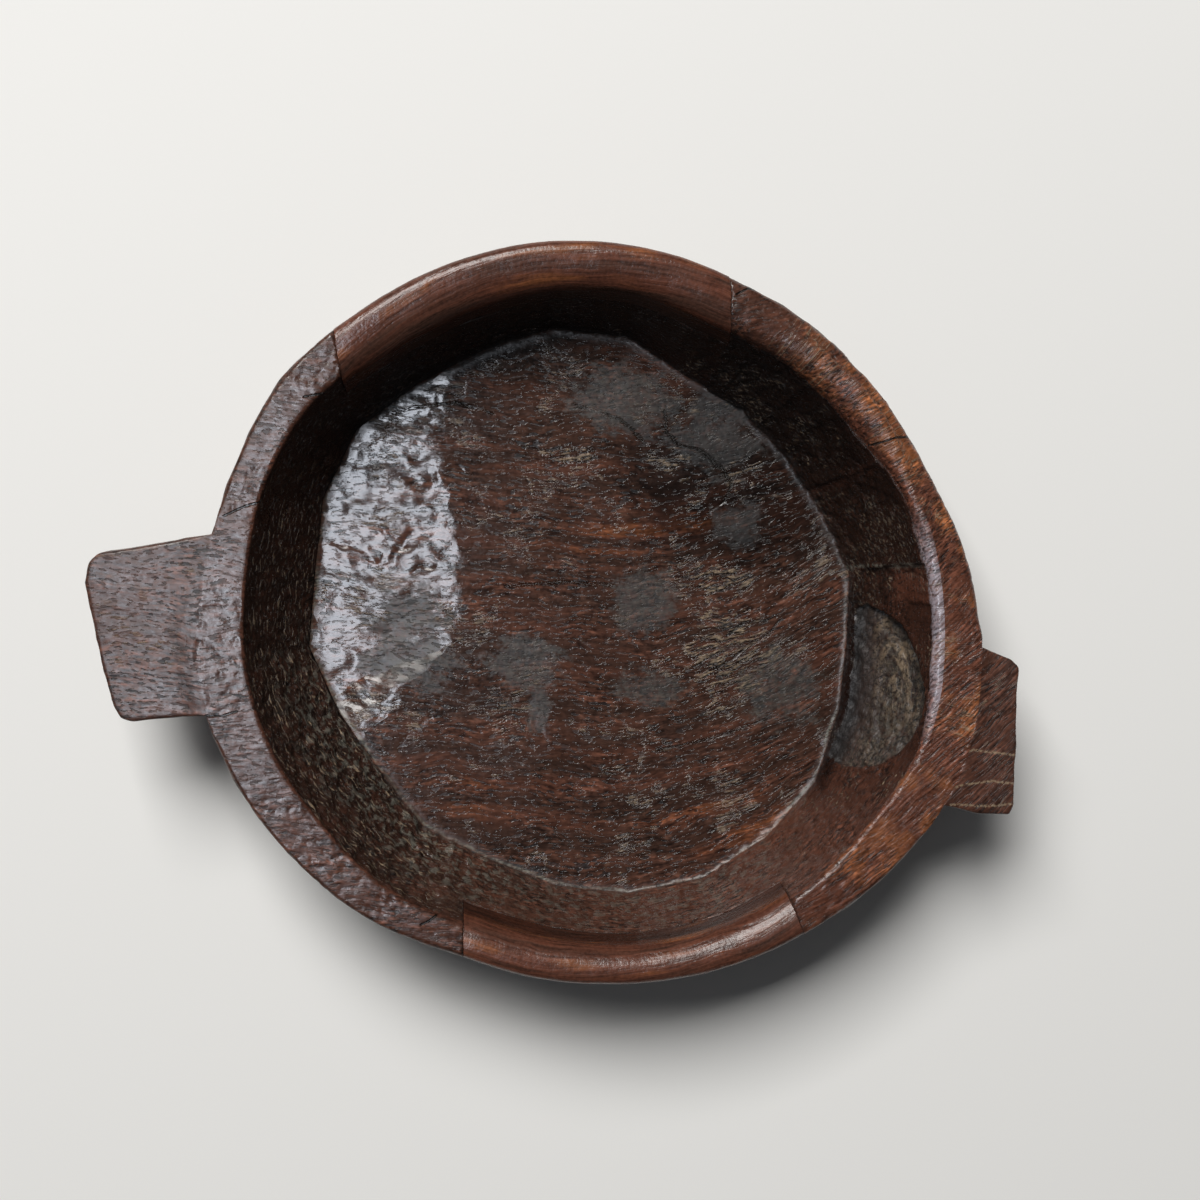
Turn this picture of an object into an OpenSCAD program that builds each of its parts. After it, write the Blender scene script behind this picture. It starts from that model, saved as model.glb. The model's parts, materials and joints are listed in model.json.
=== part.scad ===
// Hewn wooden dough bowl with two lug handles and two arcs of wood let into its rim.
// It stands on its flat base and opens upwards. X runs along the grain, from lug to lug.
// The origin is on the table, under the middle of the whole outline.

/* [Bowl] */
// Mean width across the outside of the rim, without the lugs
bowl_d = 500; // [400:5:620]
// Height from the table to the crest of the rim
bowl_h = 110; // [90:1:150]
// Thickness of the floor at its middle
floor_t = 26; // [16:1:36]
// How much the floor rises from its middle to its edge
floor_dish = 3; // [0.5:0.5:8]
// Mean width of the rim face
rim_w = 26; // [24:0.5:34]
// Mean distance that the inner wall leans in between the rim and the floor
wall_run = 33; // [24:1:45]
// Thickness of the wood outside the floor's edge, at the foot of the wall
foot_wall = 20; // [14:0.5:28]
// Rounding where the outer side meets the base
foot_round = 9; // [4:0.5:14]

/* [Rim] */
// Rounding of the rim's inner edge where it is smoothest
inner_round = 6; // [2:0.5:9]
// Width of the bevel on the rim's outer edge where it is widest
outer_bevel = 6; // [2:0.5:8]
// How far the hewn rim dips below its crest
rim_wave = 3; // [0.5:0.5:6]

/* [Knot hollow] */
// Length of the hollow around the wall
hollow_l = 125; // [80:1:160]
// Height of the hollow
hollow_h = 78; // [50:1:90]
// Depth of the hollow into the wall
hollow_deep = 12; // [4:0.5:14]
// Height of the middle of the hollow over the floor
hollow_up = 40; // [30:1:50]

/* [Lugs] */
// Length of the left lug past the rim
left_lug_l = 82; // [50:1:120]
// Width of the left lug
left_lug_w = 126; // [90:1:150]
// Length of the right lug past the rim
right_lug_l = 46; // [30:1:90]
// Width of the right lug
right_lug_w = 111; // [80:1:140]
// Thickness of both lugs
lug_t = 28; // [18:1:36]
// Distance of the lugs' middle line from the widest line of the bowl
lug_shift = 42; // [20:1:55]
// Bevel around the edges of the lugs
lug_bevel = 3; // [1:0.5:5]
// How far the top of a lug lies below the crest of the rim
lug_drop = 2; // [1:0.5:4]

/* [Rim inserts] */
// Height of the pieces let into the rim
insert_h = 29; // [24:0.5:36]
// Gap left around an insert
seam_gap = 0.2; // [0.1:0.05:0.4]

/* [Pegs] */
// Diameter of a hidden peg
peg_d = 8; // [6:0.5:9]
// Length of a hidden peg, half of it in each piece
peg_l = 34; // [24:1:40]
// Play between a peg and its hole, all round and at each end
peg_play = 0.1; // [0.05:0.05:0.3]
// Pegs under the upper insert
upper_pegs = 4;
// Pegs under the lower insert
lower_pegs = 3;

/* [Hidden] */
$fn = 48;

// Shares around the bowl, one each 15 degrees from the right lug towards the top
outline_shares = [
    1.025, 0.995, 0.955, 0.945, 0.945, 0.945, 0.96, 0.975, 0.985, 0.995, 1.015, 1.01,
    1.015, 1.04, 1.03, 1.01, 0.99, 0.96, 0.965, 0.975, 0.995, 1.015, 1.04, 1.05
];
rim_shares = [
    1.2, 1.05, 0.8, 0.85, 0.95, 1.05, 1, 1.05, 1.1, 1.1, 0.95, 0.85,
    1, 1.2, 1.15, 1.1, 0.9, 0.8, 0.8, 0.75, 0.85, 1, 1.25, 1.2
];
run_shares = [
    1.35, 1.2, 1.35, 1.3, 1.2, 1.1, 0.8, 0.7, 0.8, 0.8, 0.85, 1,
    1.15, 1.05, 1.25, 1.25, 1.05, 0.95, 0.8, 0.7, 0.65, 0.75, 0.85, 1.3
];
dip_shares = [
    0.3, 0.2, 0.6, 0.9, 1, 0.5, 0.1, 0, 0, 0.1, 0.4, 0.5,
    0.3, 0.2, 0.4, 0.6, 0.5, 0.2, 0, 0, 0.1, 0.3, 0.6, 0.4
];
bevel_shares = [
    0.8, 0.9, 1, 1, 1, 1, 0.9, 0.8, 0.6, 0.5, 0.5, 0.4,
    0.4, 0.4, 0.4, 0.4, 0.5, 0.7, 0.9, 0.9, 0.8, 0.6, 0.5, 0.5
];
round_shares = [
    0.5, 0.5, 0.7, 1, 1, 1, 1, 1, 1, 0.9, 0.5, 0.4,
    0.3, 0.3, 0.3, 0.3, 0.4, 0.8, 1, 1, 1, 0.7, 0.5, 0.5
];

// Lug outlines: shares of the lug's length past the rim and of its width from its middle
left_lug_shares = [
    [0.04, 0.5], [0.52, 0.41], [0.93, 0.33], [0.99, 0.28], [1, 0.17], [0.81, -0.2],
    [0.67, -0.43], [0.6, -0.49], [0.5, -0.5], [0.01, -0.44]
];
right_lug_shares = [
    [0.18, 0.5], [0.64, 0.45], [0.76, 0.41], [0.79, 0.24], [0.84, 0.1], [0.99, -0.42],
    [0.95, -0.48], [0.45, -0.5], [0, -0.48]
];
// Where the lugs leave the rim, and how deep their roots reach into the wall
lug_root_share = 0.985;
root_share = 0.5;

// Shares of the depth at which the inner wall and of the height at which the side is measured
wall_steps_share = [0.13, 0.25, 0.37, 0.49, 0.61, 0.73, 0.85, 0.95];
side_steps_share = [0.2, 0.4, 0.6, 0.78];
floor_steps_share = [0.75, 0.4];
// Powers that curve the inner wall and the outer side
wall_bend = 1.2;
side_bend = 2.2;

// Knot hollow: its place around the bowl
hollow_angle = -9;

// Places around the bowl and directions of the seams at the ends of the inserts
upper_seam_angles = [74, 143];
upper_seam_lean_angles = [102, 107];
lower_seam_angles = [254.5, 311.5];
lower_seam_lean_angles = [277, 300];

columns = 96;
column_step = 360 / columns;
share_step = 360 / len(outline_shares);
bowl_r = bowl_d / 2;
// Wood below the base plane that is planed away
skim = foot_round / 2;
// Overrun of the cuts
over = bowl_h / 4;

function polar(r, a) = [r * cos(a), r * sin(a)];
function wrap(a) = a - 360 * floor(a / 360);

// Smooth value of a table of shares at an angle
function around(shares, a) =
    let (
        n = len(shares),
        u = wrap(a) / 360 * n,
        i = floor(u),
        f = u - i,
        p = shares[(i + n - 1) % n],
        q = shares[i % n],
        r = shares[(i + 1) % n],
        s = shares[(i + 2) % n]
    )
    q + f / 2 * (r - p + f * (2 * p - 5 * q + 4 * r - s + f * (3 * (q - r) + s - p)));

function outer_r(a) = bowl_r * around(outline_shares, a);
function rim_r(a) = outer_r(a) - rim_w * around(rim_shares, a);
function crest(a) = bowl_h - rim_wave * max(0, around(dip_shares, a));
function bevel(a) = outer_bevel * around(bevel_shares, a);
function rounding(a) = inner_round * around(round_shares, a);

// The floor's edge is a polygon with a corner at each share
function floor_corner(k) =
    rim_r(k * share_step) - wall_run * run_shares[k % len(run_shares)];
function floor_r(a) =
    let (
        u = wrap(a) / share_step,
        k = floor(u),
        b = share_step * (u - k),
        r = floor_corner(k),
        s = floor_corner(k + 1)
    )
    r * s * sin(share_step) / (r * sin(b) + s * sin(share_step - b));

// Depth of the knot hollow at an angle and a height
function turn_from(a, b) = wrap(a - b + 180) - 180;
function hollow(a, z) =
    let (
        u = turn_from(a, hollow_angle) * PI / 180 * bowl_r / (hollow_l / 2),
        v = (z - floor_t - hollow_up) / (hollow_h / 2),
        d = max(0, 1 - u * u - v * v)
    )
    hollow_deep * d * (2 - d);

function wall_z(a, t) = crest(a) - t * (crest(a) - floor_t - floor_dish);
function wall_r(a, t) =
    rim_r(a) - (rim_r(a) - floor_r(a)) * pow(t, wall_bend) + hollow(a, wall_z(a, t));
function foot_r(a) = floor_r(a) + foot_wall;
function side_r(a, t) = foot_r(a) + (outer_r(a) - foot_r(a)) * (1 - pow(1 - t, side_bend));

function ring(radii, heights) =
    [for (i = [0:columns - 1]) concat(polar(radii[i], i * column_step), heights[i])];

// A closed solid through rings that run from its bottom centre, round the outside, to its top centre
module ring_solid(rings, low_z, high_z) {
    n = len(rings[0]);
    m = len(rings);
    points = concat([for (r = rings) each r], [[0, 0, low_z], [0, 0, high_z]]);
    low = m * n;
    high = low + 1;
    last = (m - 1) * n;
    faces = concat(
        [for (j = [0:m - 2], i = [0:n - 1]) [j * n + i, (j + 1) * n + i, (j + 1) * n + (i + 1) % n]],
        [for (j = [0:m - 2], i = [0:n - 1]) [j * n + i, (j + 1) * n + (i + 1) % n, j * n + (i + 1) % n]],
        [for (i = [0:n - 1]) [low, i, (i + 1) % n]],
        [for (i = [0:n - 1]) [high, last + (i + 1) % n, last + i]]
    );
    polyhedron(points, faces);
}

// The whole bowl as one hewn form, with its base still to be planed flat
module hewn_form() {
    angles = [for (i = [0:columns - 1]) i * column_step];
    foot = ring([for (a = angles) foot_r(a) - foot_round], [for (a = angles) -skim]);
    heel = ring([for (a = angles) foot_r(a)], [for (a = angles) foot_round]);
    side = [
        for (t = side_steps_share)
        ring([for (a = angles) side_r(a, t)], [for (a = angles) t * crest(a)])
    ];
    edge = ring([for (a = angles) outer_r(a)], [for (a = angles) crest(a) - bevel(a)]);
    brow = ring([for (a = angles) outer_r(a) - bevel(a)], [for (a = angles) crest(a)]);
    lip = ring([for (a = angles) rim_r(a) + rounding(a)], [for (a = angles) crest(a)]);
    soft = 1 - cos(45);
    nose = ring(
        [for (a = angles) rim_r(a) + soft * rounding(a)],
        [for (a = angles) crest(a) - soft * rounding(a)]
    );
    throat = ring([for (a = angles) rim_r(a)], [for (a = angles) crest(a) - rounding(a)]);
    wall = [
        for (t = wall_steps_share)
        ring([for (a = angles) wall_r(a, t)], [for (a = angles) wall_z(a, t)])
    ];
    corner = ring([for (a = angles) floor_r(a)], [for (a = angles) floor_t + floor_dish]);
    bottom = [
        for (t = floor_steps_share)
        ring([for (a = angles) t * floor_r(a)], [for (a = angles) floor_t + t * t * floor_dish])
    ];
    rings = concat([foot, heel], side, [edge, brow, lip, nose, throat], wall, [corner], bottom);
    ring_solid(rings, -skim, floor_t);
}

// The lugs' outlines in the bowl's own frame, before it is centred
lug_root = bowl_r * lug_root_share;
left_lug_outline = [
    for (p = left_lug_shares) [-lug_root - p[0] * left_lug_l, p[1] * left_lug_w - lug_shift]
];
right_lug_outline = [
    for (p = right_lug_shares) [lug_root + p[0] * right_lug_l, p[1] * right_lug_w - lug_shift]
];

// The outline's middle, which the origin lies under
outline = concat(
    left_lug_outline,
    right_lug_outline,
    [for (i = [0:columns - 1]) polar(outer_r(i * column_step), i * column_step)]
);
outline_x = [for (p = outline) p[0]];
outline_y = [for (p = outline) p[1]];
middle = [(min(outline_x) + max(outline_x)) / 2, (min(outline_y) + max(outline_y)) / 2];

// A lug with bevelled edges, its root inside the wall; side is -1 on the left and 1 on the right
module lug(points, side) {
    root_x = side * (lug_root - root_share * rim_w);
    first = points[0];
    final = points[len(points) - 1];
    heart = (first + final) / 2;
    open_line = concat([[root_x, first[1]]], points, [[root_x, final[1]]]);
    n = len(open_line);
    full = side < 0 ? open_line : [for (i = [n - 1:-1:0]) open_line[i]];
    drawn_in = [for (p = full) p - lug_bevel * (p - heart) / norm(p - heart)];
    top = bowl_h - rim_wave / 2 - lug_drop;
    under = top - lug_t;
    corners = concat(
        [for (p = drawn_in) concat(p, under)],
        [for (p = full) concat(p, under + lug_bevel)],
        [for (p = full) concat(p, top - lug_bevel)],
        [for (p = drawn_in) concat(p, top)]
    );
    bands = [
        for (j = [0:2], i = [0:n - 1])
        [j * n + i, (j + 1) * n + i, (j + 1) * n + (i + 1) % n, j * n + (i + 1) % n]
    ];
    bottom = [for (i = [0:n - 1]) i];
    lid = [for (i = [n - 1:-1:0]) 3 * n + i];
    polyhedron(corners, concat(bands, [bottom, lid]));
}

// The planed base plane
module below_base() {
    translate([0, 0, -bowl_h]) cylinder(h = bowl_h, r = bowl_r);
}

// Middle of the wall, in plan, at an angle and the level of an insert's bed
bed_z = bowl_h - insert_h;
function bed_mid_r(a) =
    let (bed_depth = (crest(a) - bed_z) / (crest(a) - floor_t - floor_dish))
    (side_r(a, bed_z / crest(a)) + wall_r(a, bed_depth)) / 2;

// The space of an insert: the rim above its bed, between its two seams, drawn in by a gap
module insert_space(seam_angles, lean_angles, gap) {
    reach = 2 * rim_w + outer_bevel;
    start = polar(bed_mid_r(seam_angles[0]), seam_angles[0]) - polar(gap, lean_angles[0] - 90);
    end = polar(bed_mid_r(seam_angles[1]), seam_angles[1]) + polar(gap, lean_angles[1] - 90);
    corners = [
        start - polar(reach / 2, lean_angles[0]),
        start + polar(2 * reach, lean_angles[0]),
        end + polar(2 * reach, lean_angles[1]),
        end - polar(reach / 2, lean_angles[1])
    ];
    translate([0, 0, bed_z + gap]) linear_extrude(insert_h + over) polygon(corners);
}

// Places of the pegs, evenly between an insert's seams
function peg_at(seam_angles, count, k) =
    seam_angles[0] + (k - 0.5) / count * (seam_angles[1] - seam_angles[0]);

module peg_shape(seam_angles, count, k, play) {
    a = peg_at(seam_angles, count, k);
    translate(concat(polar(bed_mid_r(a), a), bed_z - peg_l / 2 - play))
    cylinder(h = peg_l + 2 * play, d = peg_d + 2 * play);
}

module peg_holes() {
    for (k = [1:upper_pegs]) peg_shape(upper_seam_angles, upper_pegs, k, peg_play);
    for (k = [1:lower_pegs]) peg_shape(lower_seam_angles, lower_pegs, k, peg_play);
}

module centred() {
    translate([-middle[0], -middle[1], 0]) children();
}

module bowl_body() {
    color("#4a332c") centred() difference() {
        union() {
            hewn_form();
            lug(left_lug_outline, -1);
            lug(right_lug_outline, 1);
        }
        below_base();
        insert_space(upper_seam_angles, upper_seam_lean_angles, 0);
        insert_space(lower_seam_angles, lower_seam_lean_angles, 0);
        peg_holes();
    }
}

module rim_insert(seam_angles, lean_angles, count) {
    color("#63402f") centred() difference() {
        intersection() {
            hewn_form();
            insert_space(seam_angles, lean_angles, seam_gap);
        }
        for (k = [1:count]) peg_shape(seam_angles, count, k, peg_play);
    }
}

module upper_rim_insert() {
    rim_insert(upper_seam_angles, upper_seam_lean_angles, upper_pegs);
}

module lower_rim_insert() {
    rim_insert(lower_seam_angles, lower_seam_lean_angles, lower_pegs);
}

module rim_peg(seam_angles, count, k) {
    color("#8a6a48") centred() peg_shape(seam_angles, count, k, 0);
}

bowl_body();
upper_rim_insert();
lower_rim_insert();
for (k = [1:upper_pegs])
    rim_peg(upper_seam_angles, upper_pegs, k);
for (k = [1:lower_pegs])
    rim_peg(lower_seam_angles, lower_pegs, k);
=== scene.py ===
# Hewn dough bowl: two lug handles, two smooth arcs let into its rim, hidden pegs
import json
import math
from functools import reduce

import bpy
import numpy as np
from mathutils import Matrix, Vector

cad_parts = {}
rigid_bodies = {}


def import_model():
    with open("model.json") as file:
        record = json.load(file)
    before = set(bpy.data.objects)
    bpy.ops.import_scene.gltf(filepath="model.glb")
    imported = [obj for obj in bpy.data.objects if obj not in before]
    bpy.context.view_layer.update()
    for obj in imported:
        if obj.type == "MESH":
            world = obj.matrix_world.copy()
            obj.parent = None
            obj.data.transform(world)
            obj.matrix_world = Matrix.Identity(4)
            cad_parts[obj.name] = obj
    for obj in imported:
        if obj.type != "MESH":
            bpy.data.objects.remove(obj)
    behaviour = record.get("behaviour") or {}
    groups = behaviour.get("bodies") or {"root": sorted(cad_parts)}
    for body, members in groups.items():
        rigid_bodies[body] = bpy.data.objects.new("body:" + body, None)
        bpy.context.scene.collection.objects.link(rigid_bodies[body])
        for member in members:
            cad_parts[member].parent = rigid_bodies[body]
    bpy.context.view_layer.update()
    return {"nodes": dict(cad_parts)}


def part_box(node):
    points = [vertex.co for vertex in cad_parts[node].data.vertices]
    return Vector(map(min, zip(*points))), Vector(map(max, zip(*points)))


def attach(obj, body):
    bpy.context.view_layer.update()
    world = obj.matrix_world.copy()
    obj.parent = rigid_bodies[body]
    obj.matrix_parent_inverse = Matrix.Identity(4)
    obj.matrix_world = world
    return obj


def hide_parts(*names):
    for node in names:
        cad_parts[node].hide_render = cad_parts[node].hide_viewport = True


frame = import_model()
print("frame loaded:", len(frame["nodes"]), "nodes")

mm = 0.001
turn = 2 * math.pi
wallRadius = 215  # where arcs along the inner wall are measured, in millimetres

# Sizes of the bowl in millimetres; shares go round it in 24 steps from the right lug
bowl = {
    "middle": (18.23, 0.4),
    "radius": 250,
    "height": 110,
    "rim": 26,
    "wallRun": 33,
    "floor": 26,
    "floorDish": 3,
    "footWall": 20,
    "footRound": 9,
    "wave": 3,
    "innerRound": 6,
    "outerBevel": 6,
    "sideBend": 2.2,
    "wallBend": 1.2,
    "columns": 960,
    "softLips": [(34, 74, 8, 1.3), (-8, 26, 6, 0.8)],
    "outlineShares": [
        1.025, 0.995, 0.955, 0.945, 0.945, 0.945, 0.96, 0.975, 0.985, 0.995, 1.015, 1.01,
        1.015, 1.04, 1.03, 1.01, 0.99, 0.96, 0.965, 0.975, 0.995, 1.015, 1.04, 1.05,
    ],
    "rimShares": [
        1.2, 1.05, 0.8, 0.85, 0.95, 1.05, 1, 1.05, 1.1, 1.1, 0.95, 0.85,
        1, 1.2, 1.15, 1.1, 0.9, 0.8, 0.8, 0.75, 0.85, 1, 1.25, 1.2,
    ],
    "runShares": [
        1.35, 1.2, 1.35, 1.3, 1.2, 1.1, 0.8, 0.7, 0.8, 0.8, 0.85, 1,
        1.15, 1.05, 1.25, 1.25, 1.05, 0.95, 0.8, 0.7, 0.65, 0.75, 0.85, 1.3,
    ],
    "dipShares": [
        0.3, 0.2, 0.6, 0.9, 1, 0.5, 0.1, 0, 0, 0.1, 0.4, 0.5,
        0.3, 0.2, 0.4, 0.6, 0.5, 0.2, 0, 0, 0.1, 0.3, 0.6, 0.4,
    ],
    "bevelShares": [
        0.8, 0.9, 1, 1, 1, 1, 0.9, 0.8, 0.6, 0.5, 0.5, 0.4,
        0.4, 0.4, 0.4, 0.4, 0.5, 0.7, 0.9, 0.9, 0.8, 0.6, 0.5, 0.5,
    ],
    "roundShares": [
        0.5, 0.5, 0.7, 1, 1, 1, 1, 1, 1, 0.9, 0.5, 0.4,
        0.3, 0.3, 0.3, 0.3, 0.4, 0.8, 1, 1, 1, 0.7, 0.5, 0.5,
    ],
}
lugs = {
    "shift": 42,
    "rootShare": 0.985,
    "thick": 28,
    "drop": 0.4,
    "steps": 44,
    "arcs": ((173, 204), (335, 365)),
    "left": {
        "length": 82,
        "width": 126,
        "shares": [
            (0.04, 0.5), (0.52, 0.41), (0.93, 0.33), (0.99, 0.28), (1, 0.17), (0.81, -0.2),
            (0.67, -0.43), (0.6, -0.49), (0.5, -0.5), (0.01, -0.44),
        ],
        "corners": (3, 7),
    },
    "right": {
        "length": 46,
        "width": 111,
        "shares": [
            (0.18, 0.5), (0.64, 0.45), (0.76, 0.41), (0.79, 0.24), (0.84, 0.1), (0.99, -0.42),
            (0.95, -0.48), (0.45, -0.5), (0, -0.48),
        ],
        "corners": (2, 6),
    },
}
inserts = {
    "height": 29,
    "gap": 0.2,
    "pegPlay": 0.1,
    "upper": {"at": (74, 143), "lean": (102, 107), "pegs": 4},
    "lower": {"at": (254.5, 311.5), "lean": (277, 300), "pegs": 3},
}


# 0 below the first value, 1 above the second, smooth between them
def blendStep(low, high, value):
    t = np.clip((value - low) / (high - low), 0, 1)
    return t * t * (3 - 2 * t)


# A smooth curve round the bowl through evenly spaced shares
def around(shares, angle):
    table = np.asarray(shares, float)
    count = len(table)
    u = np.mod(angle, turn) / turn * count
    i = np.floor(u).astype(int)
    f = u - i
    p, q, r, s = (table[(i + k) % count] for k in (-1, 0, 1, 2))
    return q + f / 2 * (r - p + f * (2 * p - 5 * q + 4 * r - s + f * (3 * (q - r) + s - p)))


def outerR(angle):
    return bowl["radius"] * around(bowl["outlineShares"], angle)


def rimR(angle):
    return outerR(angle) - bowl["rim"] * around(bowl["rimShares"], angle)


def floorR(angle):
    count = len(bowl["runShares"])
    step = turn / count
    knots = np.arange(count) * step
    radii = rimR(knots) - bowl["wallRun"] * np.array(bowl["runShares"])
    u = np.mod(angle, turn) / step
    k = np.floor(u).astype(int)
    b = step * (u - k)
    r, s = radii[k % count], radii[(k + 1) % count]
    return r * s * math.sin(step) / (r * np.sin(b) + s * np.sin(step - b))


def crestZ(angle):
    return bowl["height"] - bowl["wave"] * np.maximum(0, around(bowl["dipShares"], angle))


# Radius of the side at a share of the crest's height, and of the inner wall at a share of its depth
def sideR(foot, outer, share):
    return foot + (outer - foot) * (1 - np.clip(1 - share, 0, 1) ** bowl["sideBend"])


def wallR(rim, floor, share):
    return rim - (rim - floor) * share ** bowl["wallBend"]


def wallDepth(angle):
    return crestZ(angle) - bowl["floor"] - bowl["floorDish"]


# Fixed noise and chisel cells, worked out in arrays
def scatter(i, j, seed):
    h = np.asarray(i).astype(np.int64) * 374761393 + np.asarray(j).astype(np.int64) * 668265263
    h = (h + seed * 1442695041) & 0xFFFFFFFF
    h = ((h ^ (h >> 13)) * 1274126177) & 0xFFFFFFFF
    return (h ^ (h >> 16)) / 4294967295.0


def softNoise(x, y, seed, octaves=1):
    total, weight, size = 0, 1, 0
    for k in range(octaves):
        i, j = np.floor(x), np.floor(y)
        u, v = x - i, y - j
        u, v = u * u * (3 - 2 * u), v * v * (3 - 2 * v)
        a, b = scatter(i, j, seed + k), scatter(i + 1, j, seed + k)
        c, d = scatter(i, j + 1, seed + k), scatter(i + 1, j + 1, seed + k)
        total = total + weight * ((a + (b - a) * u) * (1 - v) + (c + (d - c) * u) * v)
        size += weight
        weight *= 0.5
        x, y = x * 2 + 17.3, y * 2 + 9.1
    return 2 * total / size - 1


# Scooped cuts: every cell is a shallow hollow, with a ridge where two meet, from 0 to about 1
def scoops(x, y, seed, cellsRound=0, uneven=0.5):
    i, j = np.floor(x), np.floor(y)
    low = np.full(np.shape(x), 9.0)
    for di in (-1, 0, 1):
        for dj in (-1, 0, 1):
            ci, cj = i + di, j + dj
            key = np.mod(ci, cellsRound) if cellsRound else ci
            px = ci + 0.1 + 0.8 * scatter(key, cj, seed)
            py = cj + 0.1 + 0.8 * scatter(key, cj, seed + 1)
            deep = uneven * scatter(key, cj, seed + 2)
            low = np.minimum(low, (x - px) ** 2 + (y - py) ** 2 + deep)
    return low


# Distance to a line through points, in the points' own unit
def lineDistance(x, y, points):
    best = np.full(np.shape(x), 1e9)
    for (ax, ay), (bx, by) in zip(points[:-1], points[1:]):
        ux, uy = bx - ax, by - ay
        t = np.clip(((x - ax) * ux + (y - ay) * uy) / (ux * ux + uy * uy), 0, 1)
        best = np.minimum(best, np.hypot(x - ax - t * ux, y - ay - t * uy))
    return best


# The part of the bowl that a point belongs to
zones = {"base": 0, "side": 1, "rim": 2, "wall": 3, "floor": 4, "lug": 5}


# Faces between rings, where the next ring has as many points, half as many or twice as many
def linkRings(rings):
    quads, tris = [], []
    for (startA, countA), (startB, countB) in zip(rings[:-1], rings[1:]):
        if countA == countB:
            i = np.arange(countA)
            k = (i + 1) % countA
            quads.append(np.stack([startA + i, startA + k, startB + k, startB + i], 1))
        elif countA == 2 * countB:
            i = np.arange(countB)
            a, b, c = 2 * i, 2 * i + 1, (2 * i + 2) % countA
            k = (i + 1) % countB
            tris.append(np.stack([startA + a, startA + b, startB + i], 1))
            tris.append(np.stack([startA + b, startB + k, startB + i], 1))
            tris.append(np.stack([startA + b, startA + c, startB + k], 1))
        else:
            i = np.arange(countA)
            a, b, c = 2 * i, 2 * i + 1, (2 * i + 2) % countB
            k = (i + 1) % countA
            tris.append(np.stack([startA + i, startB + b, startB + a], 1))
            tris.append(np.stack([startA + i, startA + k, startB + b], 1))
            tris.append(np.stack([startA + k, startB + c, startB + b], 1))
    return quads, tris


def meshObject(name, points, quads, tris, values):
    mesh = bpy.data.meshes.new(name)
    loops = np.concatenate([quads.ravel(), tris.ravel()]).astype(np.int32)
    sizes = np.concatenate([np.full(len(quads), 4), np.full(len(tris), 3)])
    starts = np.concatenate([[0], np.cumsum(sizes)[:-1]]).astype(np.int32)
    mesh.vertices.add(len(points))
    mesh.vertices.foreach_set("co", (points * mm).astype(np.float32).ravel())
    mesh.loops.add(len(loops))
    mesh.loops.foreach_set("vertex_index", loops)
    mesh.polygons.add(len(sizes))
    mesh.polygons.foreach_set("loop_start", starts)
    for key, array in values.items():
        layer = mesh.attributes.new(key, "FLOAT", "POINT")
        layer.data.foreach_set("value", np.asarray(array, np.float32))
    mesh.update(calc_edges=True)
    mesh.validate()
    mesh.polygons.foreach_set("use_smooth", np.ones(len(mesh.polygons), bool))
    obj = bpy.data.objects.new(name, mesh)
    bpy.context.scene.collection.objects.link(obj)
    return obj


def normals(points, quads, tris):
    total = np.zeros_like(points)
    faces = [(quads[:, 0], quads[:, 1], quads[:, 2]), (quads[:, 0], quads[:, 2], quads[:, 3])]
    faces.append((tris[:, 0], tris[:, 1], tris[:, 2]))
    for a, b, c in faces:
        n = np.cross(points[b] - points[a], points[c] - points[a])
        for v in (a, b, c):
            for axis in range(3):
                total[:, axis] += np.bincount(v, n[:, axis], len(points))
    return total / np.maximum(np.linalg.norm(total, axis=1, keepdims=True), 1e-9)


def relax(points, quads, tris, weight, times):
    edges = [quads[:, [0, 1]], quads[:, [1, 2]], quads[:, [2, 3]], quads[:, [3, 0]]]
    edges += [tris[:, [0, 1]], tris[:, [1, 2]], tris[:, [2, 0]]]
    pairs = np.concatenate(edges)
    count = np.bincount(pairs[:, 0], minlength=len(points))
    used = np.maximum(count, 1)[:, None]
    for _ in range(times):
        mean = np.stack(
            [np.bincount(pairs[:, 0], points[pairs[:, 1], k], len(points)) for k in range(3)], 1
        )
        points = points + weight[:, None] * np.where(count[:, None] > 0, mean / used - points, 0)
    return points


def alongLine(points, shares):
    points = np.asarray(points, float)
    lengths = np.concatenate([[0], np.cumsum(np.linalg.norm(np.diff(points, axis=0), axis=1))])
    at = np.asarray(shares) * lengths[-1]
    return np.stack([np.interp(at, lengths, points[:, k]) for k in range(points.shape[1])], 1)


def lugPath(side):
    lug = lugs[side]
    sign = -1 if side == "left" else 1
    root = bowl["radius"] * lugs["rootShare"]
    path = [
        (sign * (root + p * lug["length"]), q * lug["width"] - lugs["shift"]) for p, q in lug["shares"]
    ]
    first, second = lug["corners"]
    if side == "right":
        path = path[::-1]
        first, second = len(path) - 1 - second, len(path) - 1 - first
    return np.array(path), first, second


# How many rows of points each part of the profile gets
rowCounts = {"foot": 5, "side": 26, "lug": 14, "bevel": 4, "face": 20, "lip": 6, "wall": 62}


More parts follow.
